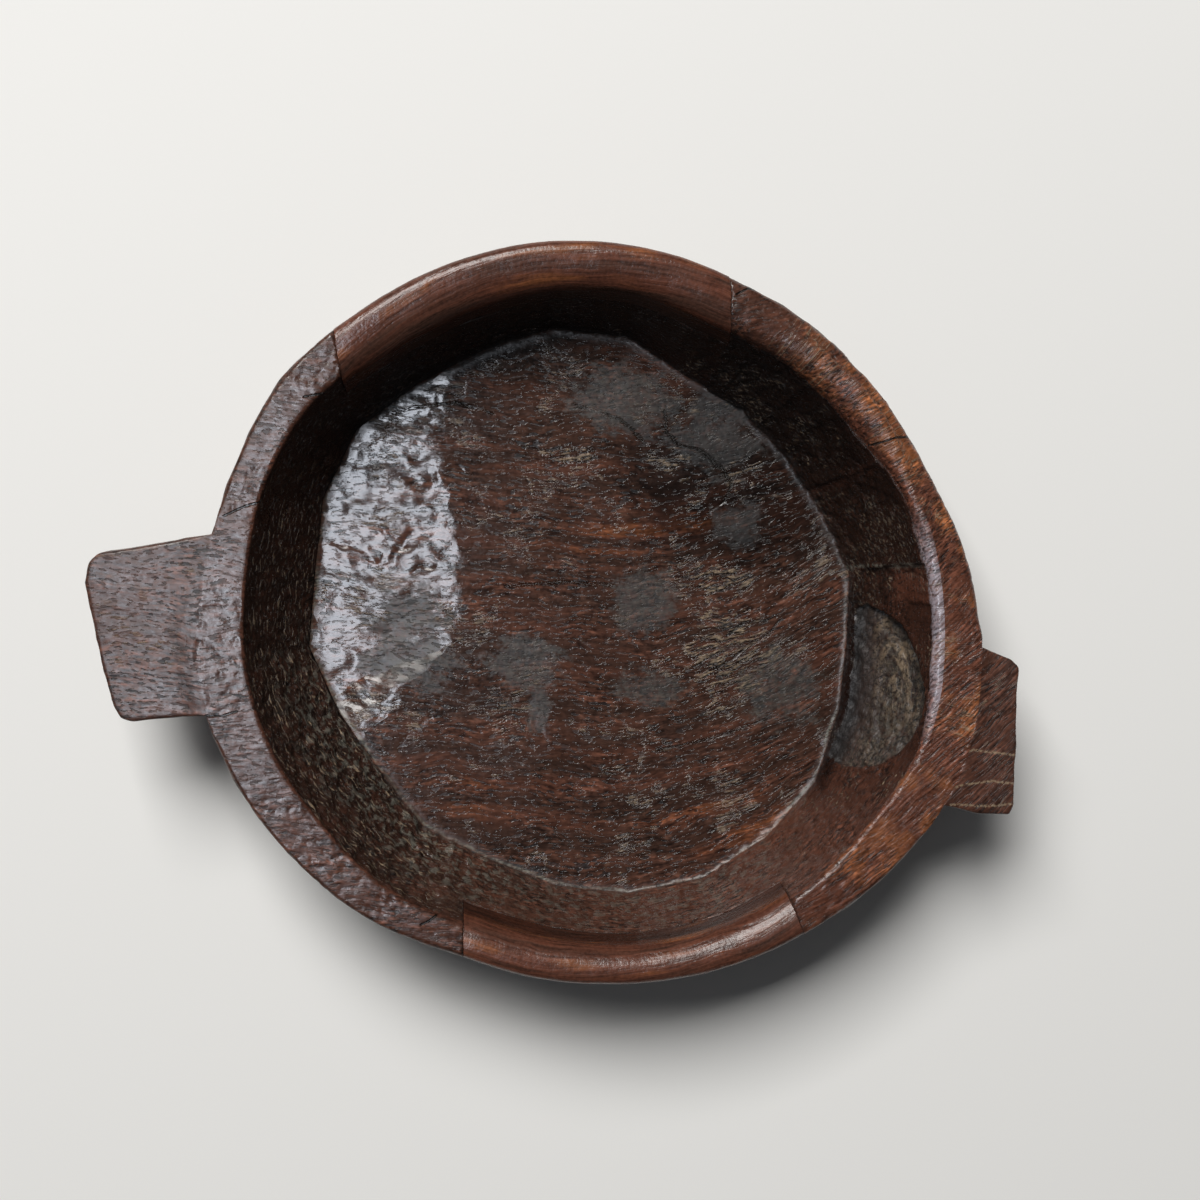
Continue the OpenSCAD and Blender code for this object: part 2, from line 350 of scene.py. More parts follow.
# The profile of the whole bowl at every column, row by row
def profileRows(angle):
    outer, rim, floor = outerR(angle), rimR(angle), floorR(angle)
    crest = crestZ(angle)
    foot = floor + bowl["footWall"]
    bevel = bowl["outerBevel"] * around(bowl["bevelShares"], angle) * lugClear(angle)
    bevel = np.maximum(bevel, 0.3)
    lip = bowl["innerRound"] * around(bowl["roundShares"], angle)
    for low, high, fade, more in bowl["softLips"]:
        lip = lip * (1 + more * sector(angle, low, high, fade))
    tilt = rimFace["tilt"] * np.maximum(0, around(rimFace["tiltShares"], angle)) * lugClear(angle)
    edge = crest - tilt
    under = (crest - lugs["drop"] - lugs["thick"]) / crest
    rows = []

    def add(radius, height, zone, down):
        rows.append((radius, height, zones[zone], down + 0 * radius))

    run = 2 / 3 * bowl["footRound"]
    for k in range(rowCounts["foot"]):
        bend = math.pi / 2 * k / rowCounts["foot"]
        rise = bowl["footRound"] * (1 - math.cos(bend))
        add(foot - run * (1 - math.sin(bend)), rise, "side", 0.0)
    low = bowl["footRound"] / crest
    top = (edge - bevel) / crest
    count = rowCounts["side"]
    shares = [low + (under - low) * k / count for k in range(count)]
    count = rowCounts["lug"]
    shares += [under + (top - under) * k / count for k in range(count + 1)]
    for t in shares:
        add(sideR(foot, outer, t), t * crest, "side", t)
    brow = outer - bevel
    for k in range(1, rowCounts["bevel"] + 1):
        bend = math.pi / 2 * k / rowCounts["bevel"]
        add(brow + bevel * math.cos(bend), edge - bevel + bevel * math.sin(bend), "rim", 0.0)
    inner = rim + lip
    for k in range(1, rowCounts["face"] + 1):
        s = k / rowCounts["face"]
        add(brow + (inner - brow) * s, edge + (crest - edge) * s, "rim", s)
    depth = wallDepth(angle)
    slope = np.hypot(depth, rim - floor)
    start = lip / depth
    throat = wallR(rim, floor, start)
    for k in range(1, rowCounts["lip"] + 1):
        bend = math.pi / 2 * k / rowCounts["lip"]
        radius = throat + (inner - throat) * (1 - math.sin(bend))
        add(radius, crest - lip * (1 - math.cos(bend)), "rim", 1.0)
    for k in range(1, rowCounts["wall"] + 1):
        t = start + (1 - start) * k / rowCounts["wall"]
        zone = "wall" if k < rowCounts["wall"] else "floor"
        add(wallR(rim, floor, t), crest - t * depth, zone, t * slope)
    return rows, foot


# 0 where a lug leaves the side, 1 elsewhere
def lugClear(angle):
    clear = np.ones_like(angle)
    for low, high in lugs["arcs"]:
        turned = turnedFrom(angle, low)
        span = high - low
        clear *= 1 - blendStep(-3, 1.5, turned) * (1 - blendStep(span - 1.5, span + 3, turned))
    return clear


# How far the rim face falls towards the outside, in millimetres
rimFace = {
    "tilt": 4,
    "tiltShares": [
        0.5, 0.9, 1, 0.9, 0.6, 0.3, 0, 0, 0, 0, 0, 0.1,
        0, 0, 0, 0, 0, 0, 0, 0, 0, 0.1, 0.1, 0.2,
    ],
}


# Rings that run from the middle of the base, up the side, over the rim and down to the floor
def hewnForm():
    count = bowl["columns"]
    angle = np.arange(count) * turn / count
    rows, foot = profileRows(angle)
    points, info, rings = [], [], []

    def ring(radius, height, zone, down, step=1):
        a = angle[::step]
        radius, height, down = (np.broadcast_to(v, count)[::step] for v in (radius, height, down))
        rings.append((sum(len(p) for p in points), len(a)))
        points.append(np.stack([radius * np.cos(a), radius * np.sin(a), height], 1))
        info.append(np.stack([a, radius, np.full(len(a), zone), down], 1))

    # Towards the middle of the base and of the floor, rings use every second, fourth or eighth column
    baseEdge = foot - 2 / 3 * bowl["footRound"]
    for share, step in ((0.12, 8), (0.25, 4), (0.38, 4), (0.5, 2), (0.65, 2), (0.8, 2), (0.92, 1)):
        ring(share * baseEdge, 0.0, zones["base"], 0.0, step)
    firstRow = len(rings)
    for row in rows:
        ring(*row)
    floor = floorR(angle)
    parts = ((1, 0.5, 62, 1), (0.5, 0.25, 32, 2), (0.25, 0.125, 16, 4), (0.125, 0.02, 12, 8))
    for high, low, amount, step in parts:
        for k in range(1, amount + 1):
            s = high + (low - high) * k / amount
            ring(s * floor, bowl["floor"] + s * s * bowl["floorDish"], zones["floor"], s, step)
    total = sum(len(p) for p in points)
    points.append(np.array([[0, 0, 0], [0, 0, bowl["floor"]]], float))
    info.append(np.array([[0, 0, zones["base"], 0], [0, 0, zones["floor"], 0]], float))
    quads, tris = linkRings(rings)
    first, last = rings[0], rings[-1]
    i = np.arange(first[1])
    tris.append(np.stack([np.full(first[1], total), first[0] + (i + 1) % first[1], first[0] + i], 1))
    i = np.arange(last[1])
    tris.append(np.stack([last[0] + i, last[0] + (i + 1) % last[1], np.full(last[1], total + 1)], 1))
    quads, tris = np.concatenate(quads), np.concatenate(tris)
    points, info = np.concatenate(points), np.concatenate(info)

    underRow = firstRow + rowCounts["foot"] + rowCounts["side"]
    browRow = underRow + rowCounts["lug"] + rowCounts["bevel"]
    for side in ("left", "right"):
        points, info, quads = addLug(side, points, info, quads, rings, underRow, browRow)
    return points, info, quads, tris


# A lug drawn out of the bowl's side: a box of rows and columns whose root is the side itself
def addLug(side, points, info, quads, rings, underRow, browRow):
    path, first, second = lugPath(side)
    count = bowl["columns"]
    ends = [np.arctan2(path[k][1], path[k][0]) % turn for k in (0, -1)]
    low, high = (int(round(a / turn * count)) for a in ends)
    high += count if high < low else 0
    cols = np.arange(low, high + 1) % count
    across, up, out = len(cols) - 1, browRow - underRow, lugs["steps"]
    ids = np.full((across + 1, up + 1, out + 1), -1)
    for r in range(up + 1):
        ids[:, r, 0] = rings[underRow + r][0] + cols
    isPatch = np.zeros(len(points), bool)
    isPatch[ids[:, :, 0].ravel()] = True
    quads = quads[~isPatch[quads].all(axis=1)]

    wide = np.linspace(0, 1, across + 1)
    far = np.linspace(0, 1, out + 1)
    root = points[ids[:, up, 0]][:, :2]
    sideA = alongLine(np.vstack([root[:1], path[1 : first + 1]]), far)
    sideB = alongLine(np.vstack([root[-1:], path[second:-1][::-1]]), far)
    tip = alongLine(path[first : second + 1], wide)
    u, v = wide[:, None, None], far[None, :, None]
    plan = (1 - v) * root[:, None] + v * tip[:, None] + (1 - u) * sideA[None] + u * sideB[None]
    plan -= (1 - v) * ((1 - u) * root[0] + u * root[-1]) + v * ((1 - u) * tip[0] + u * tip[-1])

    topZ = bowl["height"] - bowl["wave"] / 2 - lugs["drop"]
    lowZ = topZ - lugs["thick"]
    fade = (1 - far) ** 3
    new, newInfo = [], []
    for r in range(up + 1):
        share = r / up
        edge = points[ids[:, r, 0]]
        for k in range(1, out + 1):
            shown = [0, across] if 0 < r < up and k < out else range(across + 1)
            shown = np.array(list(shown))
            xy = plan[shown, k] + fade[k] * (edge[shown, :2] - root[shown])
            rise = blendStep(0, 0.3, np.full(len(shown), far[k]))
            level = lowZ + 3 * far[k] * (1 - share) + share * (topZ - lowZ)
            z = edge[shown, 2] * (1 - rise) + level * rise
            start = len(points) + sum(len(p) for p in new)
            ids[shown, r, k] = start + np.arange(len(shown))
            new.append(np.column_stack([xy, z]))
            newInfo.append(
                np.column_stack(
                    [np.arctan2(xy[:, 1], xy[:, 0]) % turn, np.hypot(xy[:, 0], xy[:, 1]),
                     np.full(len(shown), zones["lug"]), np.full(len(shown), far[k])]
                )
            )
    points = np.vstack([points] + new)
    info = np.vstack([info] + newInfo)

    def sheet(grid):
        a, b, c, d = grid[:-1, :-1], grid[1:, :-1], grid[1:, 1:], grid[:-1, 1:]
        return np.stack([a, b, c, d], -1).reshape(-1, 4)

    faces = [
        sheet(ids[:, :, out]),
        sheet(ids[:, up, :])[:, ::-1],
        sheet(ids[:, 0, :]),
        sheet(ids[across, :, :]),
        sheet(ids[0, :, :])[:, ::-1],
    ]
    return points, info, np.concatenate([quads] + faces)


# Hewing: how far every point stands off the plain form, in millimetres
hewing = {
    "wallStroke": (12, 44),
    "wallCut": 1.7,
    "wallPit": (7.5, 7),
    "wallPitCut": 2.6,
    "floorFacet": (60, 31),
    "floorCut": 0.75,
    "floorChip": (17, 7.5),
    "rimFacet": (15, 13),
    "rimCut": 0.7,
    "lugFacet": (24, 11),
    "lugCut": 0.8,
    "sideFacet": (34, 24),
    "sideCut": 1.6,
    "pittedWall": (196, 252),
    "calmLowWall": (256, 335),
    "calmHighWall": (76, 142),
    "raggedWall": (15, 74),
    "chatteredRim": (30, 72),
    "seed": 11,
}
# The scooped knot in the right wall: its lengths along the wall and below the crest, in millimetres
knotHollow = {"angle": -8.5, "radius": 212, "half": 58, "top": 9, "low": 84, "deep": 13}
# Ledges of the right wall, by angle and by distance below the crest
wallSteps = [
    {"angle": 16.5, "from": -5, "to": 70, "rise": 2.2, "fade": 30},
    {"angle": 9.7, "from": -5, "to": 30, "rise": 1.6, "fade": 14},
    {"angle": -20.3, "from": 58, "to": 96, "rise": 1.8, "fade": 16},
    {"angle": 36, "from": -5, "to": 96, "rise": 1.6, "fade": 22},
    {"angle": 55, "from": -5, "to": 96, "rise": 1.2, "fade": 26},
]


# 1 between two angles in degrees, fading over a few degrees at both ends
def sector(angle, low, high, fade=6):
    span = high - low
    turned = turnedFrom(angle, low + span / 2) + span / 2
    return blendStep(-fade, fade, turned) * (1 - blendStep(span - fade, span + fade, turned))


# Degrees from a given direction, between -180 and 180
def turnedFrom(angle, degrees):
    return np.mod(np.degrees(angle) - degrees + 180, 360) - 180


def hollowDepth(angle, down):
    along = np.radians(turnedFrom(angle, knotHollow["angle"])) * knotHollow["radius"]
    span = along / knotHollow["half"]
    span = span + 0.1 * softNoise(down / 18, span * 3, 44, 2)
    arch = np.sqrt(np.clip(1 - span**2, 0, 1))
    top = knotHollow["low"] - (knotHollow["low"] - knotHollow["top"]) * arch
    share = (down - top) / np.maximum(knotHollow["low"] - top, 1)
    shape = blendStep(0, 0.16, share) * np.clip(1 - share, 0, 1) ** 0.7
    return knotHollow["deep"] * shape * arch**0.5


def carve(points, info):
    x, y = points[:, 0], points[:, 1]
    angle, _, zone, down = info.T
    arc = angle * wallRadius
    seed = hewing["seed"]
    height = np.zeros(len(points))
    isWall, isFloor = zone == zones["wall"], zone == zones["floor"]
    isRim, isSide, isLug = zone == zones["rim"], zone == zones["side"], zone == zones["lug"]

    # Inner wall
    w = isWall
    a, v, u = angle[w], down[w], arc[w]
    long, tall = hewing["wallStroke"]
    cells = int(round(turn * wallRadius / long))
    sway = 0.25 * softNoise(u / 30, v / 22, seed + 3)
    stroke = scoops(u / (turn * wallRadius) * cells + sway, v / tall, seed, cells) - 0.4
    long, tall = hewing["wallPit"]
    pits = scoops(u / long, v / tall, seed + 20, 0, 0.9) - 0.5
    broad = softNoise(u / 34, v / 26, seed + 40, 2)
    rough = sector(a, *hewing["pittedWall"])
    smooth = sector(a, *hewing["calmLowWall"]) * 0.6
    smooth = smooth + sector(a, *hewing["calmHighWall"]) * blendStep(34, 24, v) * 0.9
    cut = hewing["wallCut"] * stroke * (1 - smooth) + 0.8 * broad
    cut = cut * (1 - 0.5 * rough) + hewing["wallPitCut"] * rough * pits
    cut += 0.7 * softNoise(u / 8, v / 9, seed + 50, 2) * sector(a, *hewing["raggedWall"])
    for step in wallSteps:
        off = np.radians(turnedFrom(a, step["angle"])) * wallRadius
        off = off + 1.5 * softNoise(v / 9, v * 0 + step["angle"], seed + 60)
        shown = blendStep(step["from"] - 4, step["from"] + 4, v)
        shown = shown * (1 - blendStep(step["to"] - 4, step["to"] + 4, v))
        fade = np.exp(-np.maximum(off, 0) / step["fade"])
        cut += step["rise"] * shown * blendStep(-0.8, 0.8, off) * fade
    hollow = hollowDepth(a, v)
    inHollow = blendStep(0, 2, hollow)
    cut = cut * (1 - 0.75 * inHollow) - hollow * np.hypot(1, 0.45)
    cut += inHollow * 1.1 * softNoise(u / 12 + v / 16, v / 7 - u / 20, seed + 70, 2)
    height[w] = cut * blendStep(0, 9, v) * (0.35 + 0.65 * blendStep(92, 82, v))

    # Floor, its facets long with the grain
    w = isFloor
    fx, fy = x[w], y[w]
    long, wide = hewing["floorFacet"]
    sway = softNoise(fx / 50, fy / 40, seed + 5)
    facet = scoops(fx / long + 0.3 * sway, fy / wide, seed + 7) - 0.4
    long, wide = hewing["floorChip"]
    fine = scoops(fx / long, fy / wide, seed + 9) - 0.4
    torn = blendStep(0.05, 0.5, softNoise(fx / 48, fy / 30, seed + 12, 2))
    cut = hewing["floorCut"] * facet + 0.5 * softNoise(fx / 70, fy / 55, seed + 14)
    cut += (0.1 + 0.5 * torn) * 0.5 * fine
    edge = blendStep(1, 0.93, down[w])
    height[w] = cut * (0.3 + 0.7 * edge)
    ragX = 3.5 * softNoise(fx / 7, fy / 5, seed + 80, 3)
    ragY = 3 * softNoise(fx / 7, fy / 5, seed + 84, 3)
    patchy = blendStep(-0.4, 0.5, softNoise(fx / 9, fy / 6, seed + 88, 2))
    for scar in floorScars:
        away = lineDistance(fx + ragX, fy + ragY, scar["line"])
        height[w] -= scar["deep"] * (0.5 + patchy) * np.exp(-((away / scar["wide"]) ** 2))

    # Rim face and lugs
    w = isRim
    u, s, a = arc[w] * 1.1, down[w], angle[w]
    long, wide = hewing["rimFacet"]
    cut = hewing["rimCut"] * (scoops(u / long, s * 26 / wide, seed + 22) - 0.4)
    cut += 0.25 * softNoise(x[w] / 8, y[w] / 4, seed + 24, 2)
    cut *= 0.6 + 0.88 * sector(a, *hewing["chatteredRim"])
    height[w] = cut
    w = isLug
    long, wide = hewing["lugFacet"]
    cut = hewing["lugCut"] * (scoops(x[w] / long, y[w] / wide, seed + 26) - 0.4)
    cut += 0.2 * softNoise(x[w] / 14, y[w] / 4, seed + 28, 2)
    height[w] = cut

    # Outer side
    w = isSide
    z = points[w, 2]
    long, tall = hewing["sideFacet"]
    cells = int(round(turn * 230 / long))
    along = angle[w] / turn * cells + 0.2 * softNoise(z / 20, angle[w] * 9, seed)
    facet = scoops(along, z / tall, seed + 30, cells)
    cut = hewing["sideCut"] * (facet - 0.4) + 0.6 * softNoise(arc[w] / 15, z / 10, seed + 32, 2)
    height[w] = cut * blendStep(0, 14, z)
    return height


# Chisel scars of the floor: points in millimetres from the bowl's middle
floorScars = [
    {"line": [(-50, -44), (-9, -34), (33, -34), (48, -28)], "deep": 0.17, "wide": 1.1},
    {"line": [(-159, 67), (-140, 72), (-128, 76), (-101, 85)], "deep": 0.3, "wide": 1.7},
    {"line": [(-134, 66), (-118, 74)], "deep": 0.33, "wide": 3.2},
    {"line": [(-146, 36), (-142, 11), (-131, 33)], "deep": 0.3, "wide": 2.6},
    {"line": [(-137, 30), (-139, 18)], "deep": 0.26, "wide": 4.5},
    {"line": [(-178, 23), (-157, 20), (-150, 12)], "deep": 0.33, "wide": 2.0},
    {"line": [(-124, 9), (-112, 16)], "deep": 0.33, "wide": 2.2},
    {"line": [(-33, -67), (-28, -84), (-19, -94)], "deep": 0.23, "wide": 1.5},
    {"line": [(-114, -98), (-104, -93)], "deep": 0.3, "wide": 2.0},
    {"line": [(-118, -112), (-110, -98)], "deep": 0.26, "wide": 1.4},
    {"line": [(22, -60), (20, -92)], "deep": 0.13, "wide": 0.9},
]


def makeBowl():
    points, info, quads, tris = hewnForm()
    lugEdge = (info[:, 2] == zones["lug"]).astype(float)
    points = relax(points, quads, tris, 0.55 * lugEdge, 5)
    outward = normals(points, quads, tris)
    height = carve(points, info)
    points = points + outward * height[:, None]
    values = {key: info[:, 2] == zones[key] for key in ("rim", "wall", "floor", "lug")}
    values["down"] = info[:, 3]
    angle, radius, zone, down = info.T
    slope = np.hypot(wallDepth(angle), rimR(angle) - floorR(angle))
    above = np.where(zone == zones["wall"], slope - down, 60)
    above = np.where(zone == zones["floor"], np.minimum(radius - floorR(angle), 0), above)
    values["fromFloor"] = np.maximum(above, -60)
    values["hollow"] = (zone == zones["wall"]) * hollowDepth(angle, down) / knotHollow["deep"]
    return meshObject("bowlHewn", *moved((points, quads, tris)), values)


# The two arcs let into the rim: smooth, rounded bars cut to length between their seams
smoothRim = {
    "radius": 240,
    "grainRadius": 235,
    "fall": 16,
    "power": 2.05,
    "bevel": 7,
    "proud": 0.5,
    "endSink": 0.5,
    "endFade": 14,
    "columns": 620,
    "below": 8,
    "past": 9,
}


def insertForm(which):
    low, high = inserts[which]["at"]
    past = smoothRim["past"]
    angle = np.radians(np.linspace(low - past, high + past, smoothRim["columns"]))
    outer, rim, floor = outerR(angle), rimR(angle), floorR(angle)
    foot = floor + bowl["footWall"]
    crest = crestZ(angle)
    start = (bowl["height"] - inserts["height"] - smoothRim["below"]) / crest
    bevel, fall, bend = smoothRim["bevel"], smoothRim["fall"], 2 / smoothRim["power"]
    rows = []
    top = (crest - bevel * 0.75) / crest
    for k in range(22):
        t = start + (top - start) * k / 22
        rows.append((sideR(foot, outer, t), t * crest))
    brow = outer - bevel
    for k in range(10):
        b = math.pi / 2 * k / 10
        rows.append((brow + bevel * math.cos(b), crest - bevel * 0.75 * (1 - math.sin(b))))
    depth = wallDepth(angle)
    throat = wallR(rim, floor, fall / depth)
    for k in range(56):
        b = math.pi / 2 * k / 56
        radius = brow + (throat - brow) * math.sin(b) ** bend
        rows.append((radius, crest - fall * (1 - math.cos(b) ** bend)))
    last = crest - (bowl["height"] - inserts["height"] - smoothRim["below"])
    for k in range(27):
        d = fall + (last - fall) * k / 26
        rows.append((wallR(rim, floor, d / depth), crest - d))
    count, many = len(angle), len(rows)
    points = np.concatenate([
        np.stack([radius * np.cos(angle), radius * np.sin(angle), height], 1) for radius, height in rows
    ])
    j, i = np.meshgrid(np.arange(many), np.arange(count - 1), indexing="ij")
    here, after = j * count + i, (j + 1) % many * count + i
    quads = np.stack([here, here + 1, after + 1, after], -1).reshape(-1, 4)
    edge = np.arange(many) * count
    tris = []
    for end, column in ((0, 0), (1, count - 1)):
        centre = len(points) + end
        ring = edge + column
        nextRing = np.roll(ring, -1)
        pair = (nextRing, ring) if end else (ring, nextRing)
        tris.append(np.stack([np.full(many, centre), *pair], 1))
    middles = [points[edge + column].mean(axis=0) for column in (0, count - 1)]
    points = np.vstack([points, middles])
    tris = np.concatenate(tris)
    outward = normals(points, quads, tris)
    x, y, z = points.T
    ring = np.arctan2(y, x)
    seed = 70 if which == "upper" else 90
    across = np.hypot(x, y) - z
    height = 0.45 * softNoise(ring * 9, across / 26, seed, 2)
    height += 0.14 * softNoise(ring * 34, across / 8, seed + 5, 2)
    height += smoothRim["proud"]
    for at in inserts[which]["at"]:
        away = np.radians(np.abs(turnedFrom(ring, at))) * smoothRim["radius"]
        height -= smoothRim["endSink"] * np.exp(-away / smoothRim["endFade"])
    points = points + outward * height[:, None]
    return points, quads, tris


def polar(radius, degrees):
    a = math.radians(degrees)
    return np.array([radius * math.cos(a), radius * math.sin(a)])


# Radius of the middle of an insert's bed
def bedMiddle(degrees):
    a = np.array([math.radians(degrees)])
    outer, rim, floor, crest = outerR(a)[0], rimR(a)[0], floorR(a)[0], crestZ(a)[0]
    bed = bowl["height"] - inserts["height"]
    side = sideR(floor + bowl["footWall"], outer, bed / crest)
    wall = wallR(rim, floor, (crest - bed) / wallDepth(a)[0])
    return (side + wall) / 2


# The space that an insert fills, as a closed box with slightly wandering seams
def insertSpace(which, gap):
    (a, b), (leanA, leanB) = inserts[which]["at"], inserts[which]["lean"]
    reach = 2 * bowl["rim"] + bowl["outerBevel"]
    edges = []
    for at, lean, sign in ((a, leanA, -1), (b, leanB, 1)):
        start = polar(bedMiddle(at), at) + sign * polar(gap, lean - 90)
        steps = np.linspace(-reach / 2, 2 * reach, 40)
        wander = 0.5 * softNoise(steps / 9, steps * 0 + at, 5, 2)
        line = [start + polar(s, lean) + polar(w, lean - 90) for s, w in zip(steps, wander)]
        edges.append(np.array(line))
    outline = np.vstack([edges[0], edges[1][::-1]])
    bed = bowl["height"] - inserts["height"] + gap
    n = len(outline)
    levels = np.linspace(bed, bowl["height"] + 30, 9)
    points = np.concatenate([np.column_stack([outline, np.full(n, z)]) for z in levels])
    quads = []
    for j in range(len(levels) - 1):
        for i in range(n):
            k = (i + 1) % n
            quads.append((j * n + i, j * n + k, (j + 1) * n + k, (j + 1) * n + i))
    half = n // 2
    lid = (len(levels) - 1) * n
    for i in range(half - 1):
        quads.append((n - 1 - i, n - 2 - i, i + 1, i))
        quads.append((lid + i, lid + i + 1, lid + n - 2 - i, lid + n - 1 - i))
    return points, np.array(quads), np.zeros((0, 3), int)


def pegSpace(node, gap):
    low, high = (np.array(v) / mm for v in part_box(node))
    centre = (low + high) / 2
    radius = (high[0] - low[0]) / 2 + gap
    n = 32
    ring = np.arange(n) * turn / n
    plan = np.stack([centre[0] + radius * np.cos(ring), centre[1] + radius * np.sin(ring)], 1)
    points = np.vstack([np.column_stack([plan, np.full(n, z)]) for z in (low[2] - gap, high[2] + gap)])
    points = np.vstack([points, [[*centre[:2], low[2] - gap], [*centre[:2], high[2] + gap]]])
    i = np.arange(n)
    k = (i + 1) % n
    quads = np.stack([i, k, n + k, n + i], 1)
    foot, head = np.full(n, 2 * n), np.full(n, 2 * n + 1)
    tris = np.concatenate([np.stack([foot, k, i], 1), np.stack([head, n + i, n + k], 1)])
    return points, quads, tris


def together(forms):
    points, quads, tris, start = [], [], [], 0
    for p, q, t in forms:
        points.append(p)
        quads.append(q + start)
        tris.append(t + start)
        start += len(p)
    return np.concatenate(points), np.concatenate(quads), np.concatenate(tris)


def moved(form):
    points, quads, tris = form
    return points + np.array([*bowl["middle"], 0]), quads, tris


# Adds a Boolean that the next settle applies
def cut(obj, tool, operation):
    step = obj.modifiers.new(operation.lower(), "BOOLEAN")
    step.operation = operation
    step.object = tool
    step.solver = "MANIFOLD"


# Turns what the modifiers make into the object's own plain mesh
def settle(obj):
    graph = bpy.context.evaluated_depsgraph_get()
    mesh = bpy.data.meshes.new_from_object(obj.evaluated_get(graph))
    mesh.materials.clear()
    mesh.polygons.foreach_set("material_index", np.zeros(len(mesh.polygons), np.int32))
    obj.modifiers.clear()
    old = obj.data
    obj.data = mesh
    bpy.data.meshes.remove(old)
    mesh.name = obj.name


def thin(obj, most):
    count = sum(len(p.vertices) - 2 for p in obj.data.polygons)
    if count > most:
        step = obj.modifiers.new("thin", "DECIMATE")
        step.ratio = most / count
        settle(obj)
    print(obj.name, count, "triangles, kept", sum(len(p.vertices) - 2 for p in obj.data.polygons))


def drop(*objs):
    for obj in objs:
        mesh = obj.data
        bpy.data.objects.remove(obj)
        bpy.data.meshes.remove(mesh)


def fitTogether():
    spaces = [moved(insertSpace(which, 0)) for which in ("upper", "lower")]
    holes = [
        pegSpace(f"{which}_rim_peg_{k + 1}", inserts["pegPlay"])
        for which in ("upper", "lower") for k in range(inserts[which]["pegs"])
    ]
    spaceTool = meshObject("spaces", *together(spaces), {})
    pegTool = meshObject("pegs", *together(holes), {})
    for tool in (spaceTool, pegTool):
        cut(hewn, tool, "DIFFERENCE")
        settle(hewn)
    made = []
    for which in ("upper", "lower"):
        piece = meshObject(which + "RimArc", *moved(insertForm(which)), {})
        tool = meshObject("space", *moved(insertSpace(which, inserts["gap"])), {})
        cut(piece, tool, "INTERSECT")
        settle(piece)
        cut(piece, pegTool, "DIFFERENCE")
        settle(piece)
        drop(tool)
        made.append(piece)
    drop(spaceTool, pegTool)
    return made


# A value in a node tree that can be added, multiplied and passed on to other nodes
class Wire:
    def __init__(self, tree, socket):
        self.tree = tree
        self.socket = socket

    def node(self, kind, settings=None, sockets=None, out=0):
        made = self.tree.nodes.new(kind)
        for key, value in (settings or {}).items():
            setattr(made, key, value)
        for key, value in (sockets or {}).items():
            if isinstance(value, Wire):
                self.tree.links.new(value.socket, made.inputs[key])
            else:
                made.inputs[key].default_value = value
        return Wire(self.tree, made.outputs[out])

    def maths(self, operation, *values):
        return self.node("ShaderNodeMath", {"operation": operation}, dict(enumerate(values)))

    def __add__(self, other):
        return self.maths("ADD", self, other)

    def __sub__(self, other):
        return self.maths("SUBTRACT", self, other)

    def __rsub__(self, other):
        return self.maths("SUBTRACT", other, self)

    def __mul__(self, other):
        return self.maths("MULTIPLY", self, other)

    def __truediv__(self, other):
        return self.maths("DIVIDE", self, other)

    __radd__, __rmul__ = __add__, __mul__

    def least(self, other):
        return self.maths("MINIMUM", self, other)

    def most(self, other):
        return self.maths("MAXIMUM", self, other)

    def size(self):
        return self.maths("ABSOLUTE", self)

    def root(self):
        return self.maths("SQRT", self)

    # The angle of the point (across, self), and one in degrees brought between -180 and 180
    def angleOver(self, across):
        return self.maths("ARCTAN2", self, across)

    def wrapped(self):
        return self.maths("WRAP", self, 180.0, -180.0)

    # 0 below the first value, 1 above the second, smooth between them
    def rise(self, low, high):
        settings = {"interpolation_type": "SMOOTHSTEP"}
        sockets = {"Value": self, 1: low, 2: high, 3: 0.0, 4: 1.0}
        return self.node("ShaderNodeMapRange", settings, sockets)

    def fall(self, low, high):
        return 1 - self.rise(low, high)

    # 1 between two values, fading this far on both sides of each
    def between(self, low, high, fadeIn, fadeOut):
        return self.rise(low - fadeIn, low + fadeIn) * self.fall(high - fadeOut, high + fadeOut)

    def vector(self, operation, *values):
        return self.node("ShaderNodeVectorMath", {"operation": operation}, dict(enumerate(values)))

    # The vector times one triple plus another
    def stretch(self, scale, shift=(0, 0, 0)):
        return self.vector("MULTIPLY_ADD", self, scale, shift)

    def parts(self):
        split = self.node("ShaderNodeSeparateXYZ", None, {0: self})
        return [Wire(self.tree, split.socket.node.outputs[k]) for k in range(3)]

    def joined(self, x, y, z):
        return self.node("ShaderNodeCombineXYZ", None, {0: x, 1: y, 2: z})

    # Noise with cells of this size along x, y and z
    def noise(self, size, shift=(0, 0, 0), detail=2, rough=0.5):
        place = self.stretch([1 / side for side in size], shift)
        sockets = {"Vector": place, "Scale": 1.0, "Detail": detail, "Roughness": rough}
        return self.node("ShaderNodeTexNoise", None, sockets)

    # Colours: this one towards another, and this one made lighter or darker
    def towards(self, other, factor):
        settings = {"data_type": "RGBA", "blend_type": "MIX", "clamp_factor": True}
        return self.node("ShaderNodeMix", settings, {0: factor, 6: self, 7: other}, 2)

    def times(self, factor):
        return self.vector("MULTIPLY", self, self.joined(factor, factor, factor))


def colour(wire, value):
    made = wire.tree.nodes.new("ShaderNodeRGB")
    made.outputs[0].default_value = (*value, 1)
    return Wire(wire.tree, made.outputs[0])


def attribute(wire, name):
    return wire.node("ShaderNodeAttribute", {"attribute_name": name}, None, 2)


